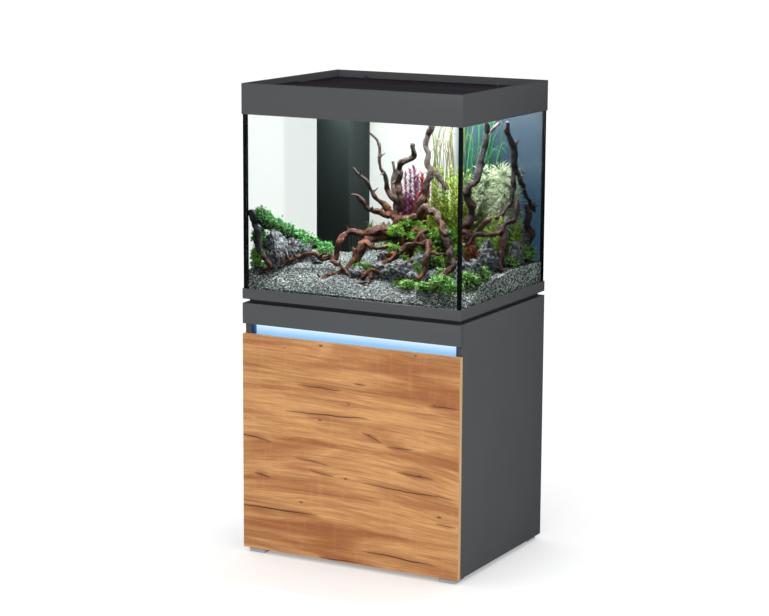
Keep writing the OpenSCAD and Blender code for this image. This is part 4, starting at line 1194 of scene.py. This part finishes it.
def plant_green_stems():
    draw = random.Random(41)
    narrow = leaf_shape(0.42, 0.07, 0.15, 3, 5)
    bm = start_leaves()
    for _ in range(58):
        x, y = draw.uniform(72, 190), draw.uniform(40, 165)
        top = draw.uniform(1000, 1132) - 0.3 * abs(x - 125)
        stem(bm, draw, narrow, (x, y, 848), (x + draw.uniform(-16, 16), y + draw.uniform(-14, 14), top),
             20, 5, 20)
    plant_piece("green_stem_plants", bm, leaves("stem_leaf", "#4f6a1a", "#a3b243", 0.9, 0.06))
    bm = start_leaves()
    for _ in range(26):
        x, y = draw.uniform(190, 300), draw.uniform(95, 215)
        top = draw.uniform(925, 995)
        stem(bm, draw, narrow, (x, y, 848), (x + draw.uniform(-18, 18), y + draw.uniform(-14, 14), top),
             16, 6, 20)
    plant_piece("yellow_stem_plants", bm, leaves("yellow_leaf", "#6f8d2b", "#bcd062", 0.8, 0.05))


def plant_feather_stems():
    """Pale fluffy crowns of thread-like leaves that point every way, on thin stems."""
    draw = random.Random(51)
    thread = leaf_shape(0.085, 0.06, 0.3, 3, 4)
    bm = start_leaves()
    for _ in range(30):
        x, y = draw.uniform(172, 272), draw.uniform(158, 235)
        top = draw.uniform(1010, 1112) - 0.25 * abs(x - 215)
        foot, tip = Vector((x, y, 848)) * MM, Vector((x + draw.uniform(-12, 12), y, top)) * MM
        sweep(bm, [foot, foot.lerp(tip, 0.5), tip], [0.0012, 0.001, 0.0006], 1.0, 5)
        own = start_leaves()
        for tier in range(4):
            heart = tip - Vector((0, 0, tier * 0.03))
            for _ in range(62):
                way = random_way(draw, 0.5)
                length = draw.uniform(0.02, 0.042)
                end = heart + way * length
                if abs(end.x) < TANK_HIGH.x - 0.004 and end.y < TANK_HIGH.y - 0.004:
                    stamp(own, thread, leaf_place(heart + way * 0.002, way, length, draw.uniform(-1, 1)))
        pour(bm, own)
    plant_piece("feather_stem_plants", bm, leaves("feather_leaf", "#4d7650", "#e3e8c8", 0.9, 0.07))


def plant_grasses():
    """Tall ribbon grass behind the right part, thin grass by the wood, low grass at the back left."""
    draw = random.Random(61)
    bm = start_leaves()
    for _ in range(74):
        x, y = draw.uniform(100, 198), draw.uniform(196, 246)
        lean = (draw.uniform(-30, 75), draw.uniform(-25, 8), 0)
        blade(bm, draw, (x, y, 846), (x + draw.uniform(-12, 20), y, draw.uniform(1110, 1266)),
              draw.uniform(2.6, 4.8), lean)
    paint_lengthwise(bm)
    plant_piece("tall_grass_blades", bm, leaves("tall_grass", "#16403f", "#357245", 0.9, 0.08))
    bm = start_leaves()
    for _ in range(22):
        x, y = draw.uniform(20, 100), draw.uniform(165, 235)
        lean = (draw.uniform(-45, 60), draw.uniform(-30, 10), 0)
        blade(bm, draw, (x, y, 846), (x + draw.uniform(-10, 10), y, draw.uniform(1150, 1264)),
              draw.uniform(2, 4.5), lean)
    for _ in range(60):
        x, y = draw.uniform(-200, -80), draw.uniform(130, 230)
        lean = (draw.uniform(-18, 18), draw.uniform(-18, 18), 0)
        blade(bm, draw, (x, y, 846), (x, y, draw.uniform(890, 935)), draw.uniform(2, 3.5), lean)
    paint_lengthwise(bm)
    plant_piece("fine_grass_blades", bm, leaves("fine_grass", "#3c5422", "#596f2c", 0.8, 0.05))
    bm = start_leaves()
    for _ in range(12):
        x, y = draw.uniform(84, 135), draw.uniform(60, 150)
        bend = draw.choice((-1, 1)) * draw.uniform(20, 55)
        rise = draw.uniform(1170, 1255)
        path = smooth_path([Vector(at) * MM for at in (
            (x, y, 1060), (x + 0.1 * bend, y, 1130), (x + 0.4 * bend, y, rise), (x + bend, y, rise - 25),
            (x + 1.3 * bend, y, rise - 75))], 5)
        for point in path:
            keep_in_tank(point, 0.004)
        sweep(bm, path, [0.0012 - 0.0008 * i / (len(path) - 1) for i in range(len(path))], 1.0, 5)
    paint_lengthwise(bm)
    plant_piece("arched_twigs", bm, leaves("twig_skin", "#4a3b30", "#7d6d5c", 0.5, 0.03))


# ---- Panes, seams and film ----

def seal_corners():
    """Silicone in the four corners: a bead inside, and the black joint between the panes."""
    bead, joint, film = 0.005, 0.008, 0.00015
    low, high = FLOOR_Z, WATER_TOP
    bm = bmesh.new()
    for sx in (-1, 1):
        for sy in (-1, 1):
            corner = Vector((sx * TANK_HIGH.x, sy * TANK_HIGH.y, 0))
            for size, at in (((bead, bead), (-bead / 2 - film, -bead / 2)),
                             ((joint, 2 * film), (joint / 2, 0))):
                shape = Matrix.Diagonal((size[0], size[1], high - low, 1))
                place = Matrix.Translation(corner + Vector((sx * at[0], sy * at[1], (low + high) / 2)))
                made = bmesh.ops.create_cube(bm, size=1, matrix=place @ shape)["verts"]
                if size[1] == bead:
                    inner = [e for e in dict.fromkeys(e for v in made for e in v.link_edges)
                             if all(abs(abs(v.co.x) - abs(corner.x)) > bead / 2
                                    and abs(abs(v.co.y) - abs(corner.y)) > bead / 2 for v in e.verts)]
                    bmesh.ops.bevel(bm, geom=inner, offset=bead * 0.6, segments=4, profile=0.3,
                                    affect="EDGES",
                                    material=-1)
    new_piece("corner_silicone", bm, [FINISH["black_silicone"]], ("silicone_seams",),
              sharp=40)


def hang_film():
    """The printed film, a hair behind the back pane."""
    low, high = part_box("background_film")
    gap = 0.00012
    bm = bmesh.new()
    middle = (low + high) / 2
    shape = Matrix.Diagonal((high.x - low.x, high.y - low.y - gap, high.z - low.z, 1))
    bmesh.ops.create_cube(bm, size=1, matrix=Matrix.Translation((middle.x, middle.y + gap / 2,
                                                                 middle.z)) @ shape)
    bmesh.ops.bevel(bm, geom=[e for e in bm.edges if abs(e.verts[0].co.y - e.verts[1].co.y) > 0.0001],
                    offset=0.004,
                    segments=3, profile=0.5, affect="EDGES", material=-1)
    new_piece("printed_back_film", bm, [FINISH["back_film"]], ("background_film",), sharp=40)


place_camera()
light_studio()
lay_floor()
FINISH = finishes_of_slots()
for part, node in frame["nodes"].items():
    for holder in node.material_slots:
        holder.material = FINISH[SLOT_OF[part]]
ease_boards()
seal_corners()
hang_film()
lay_gravel()
strew_grains()
grow_wood()
set_stones()
plant_cushions()
plant_red_stems()
plant_green_stems()
plant_feather_stems()
plant_grasses()

scene = bpy.context.scene
scene.view_settings.view_transform = "Standard"
scene.cycles.use_denoising = True
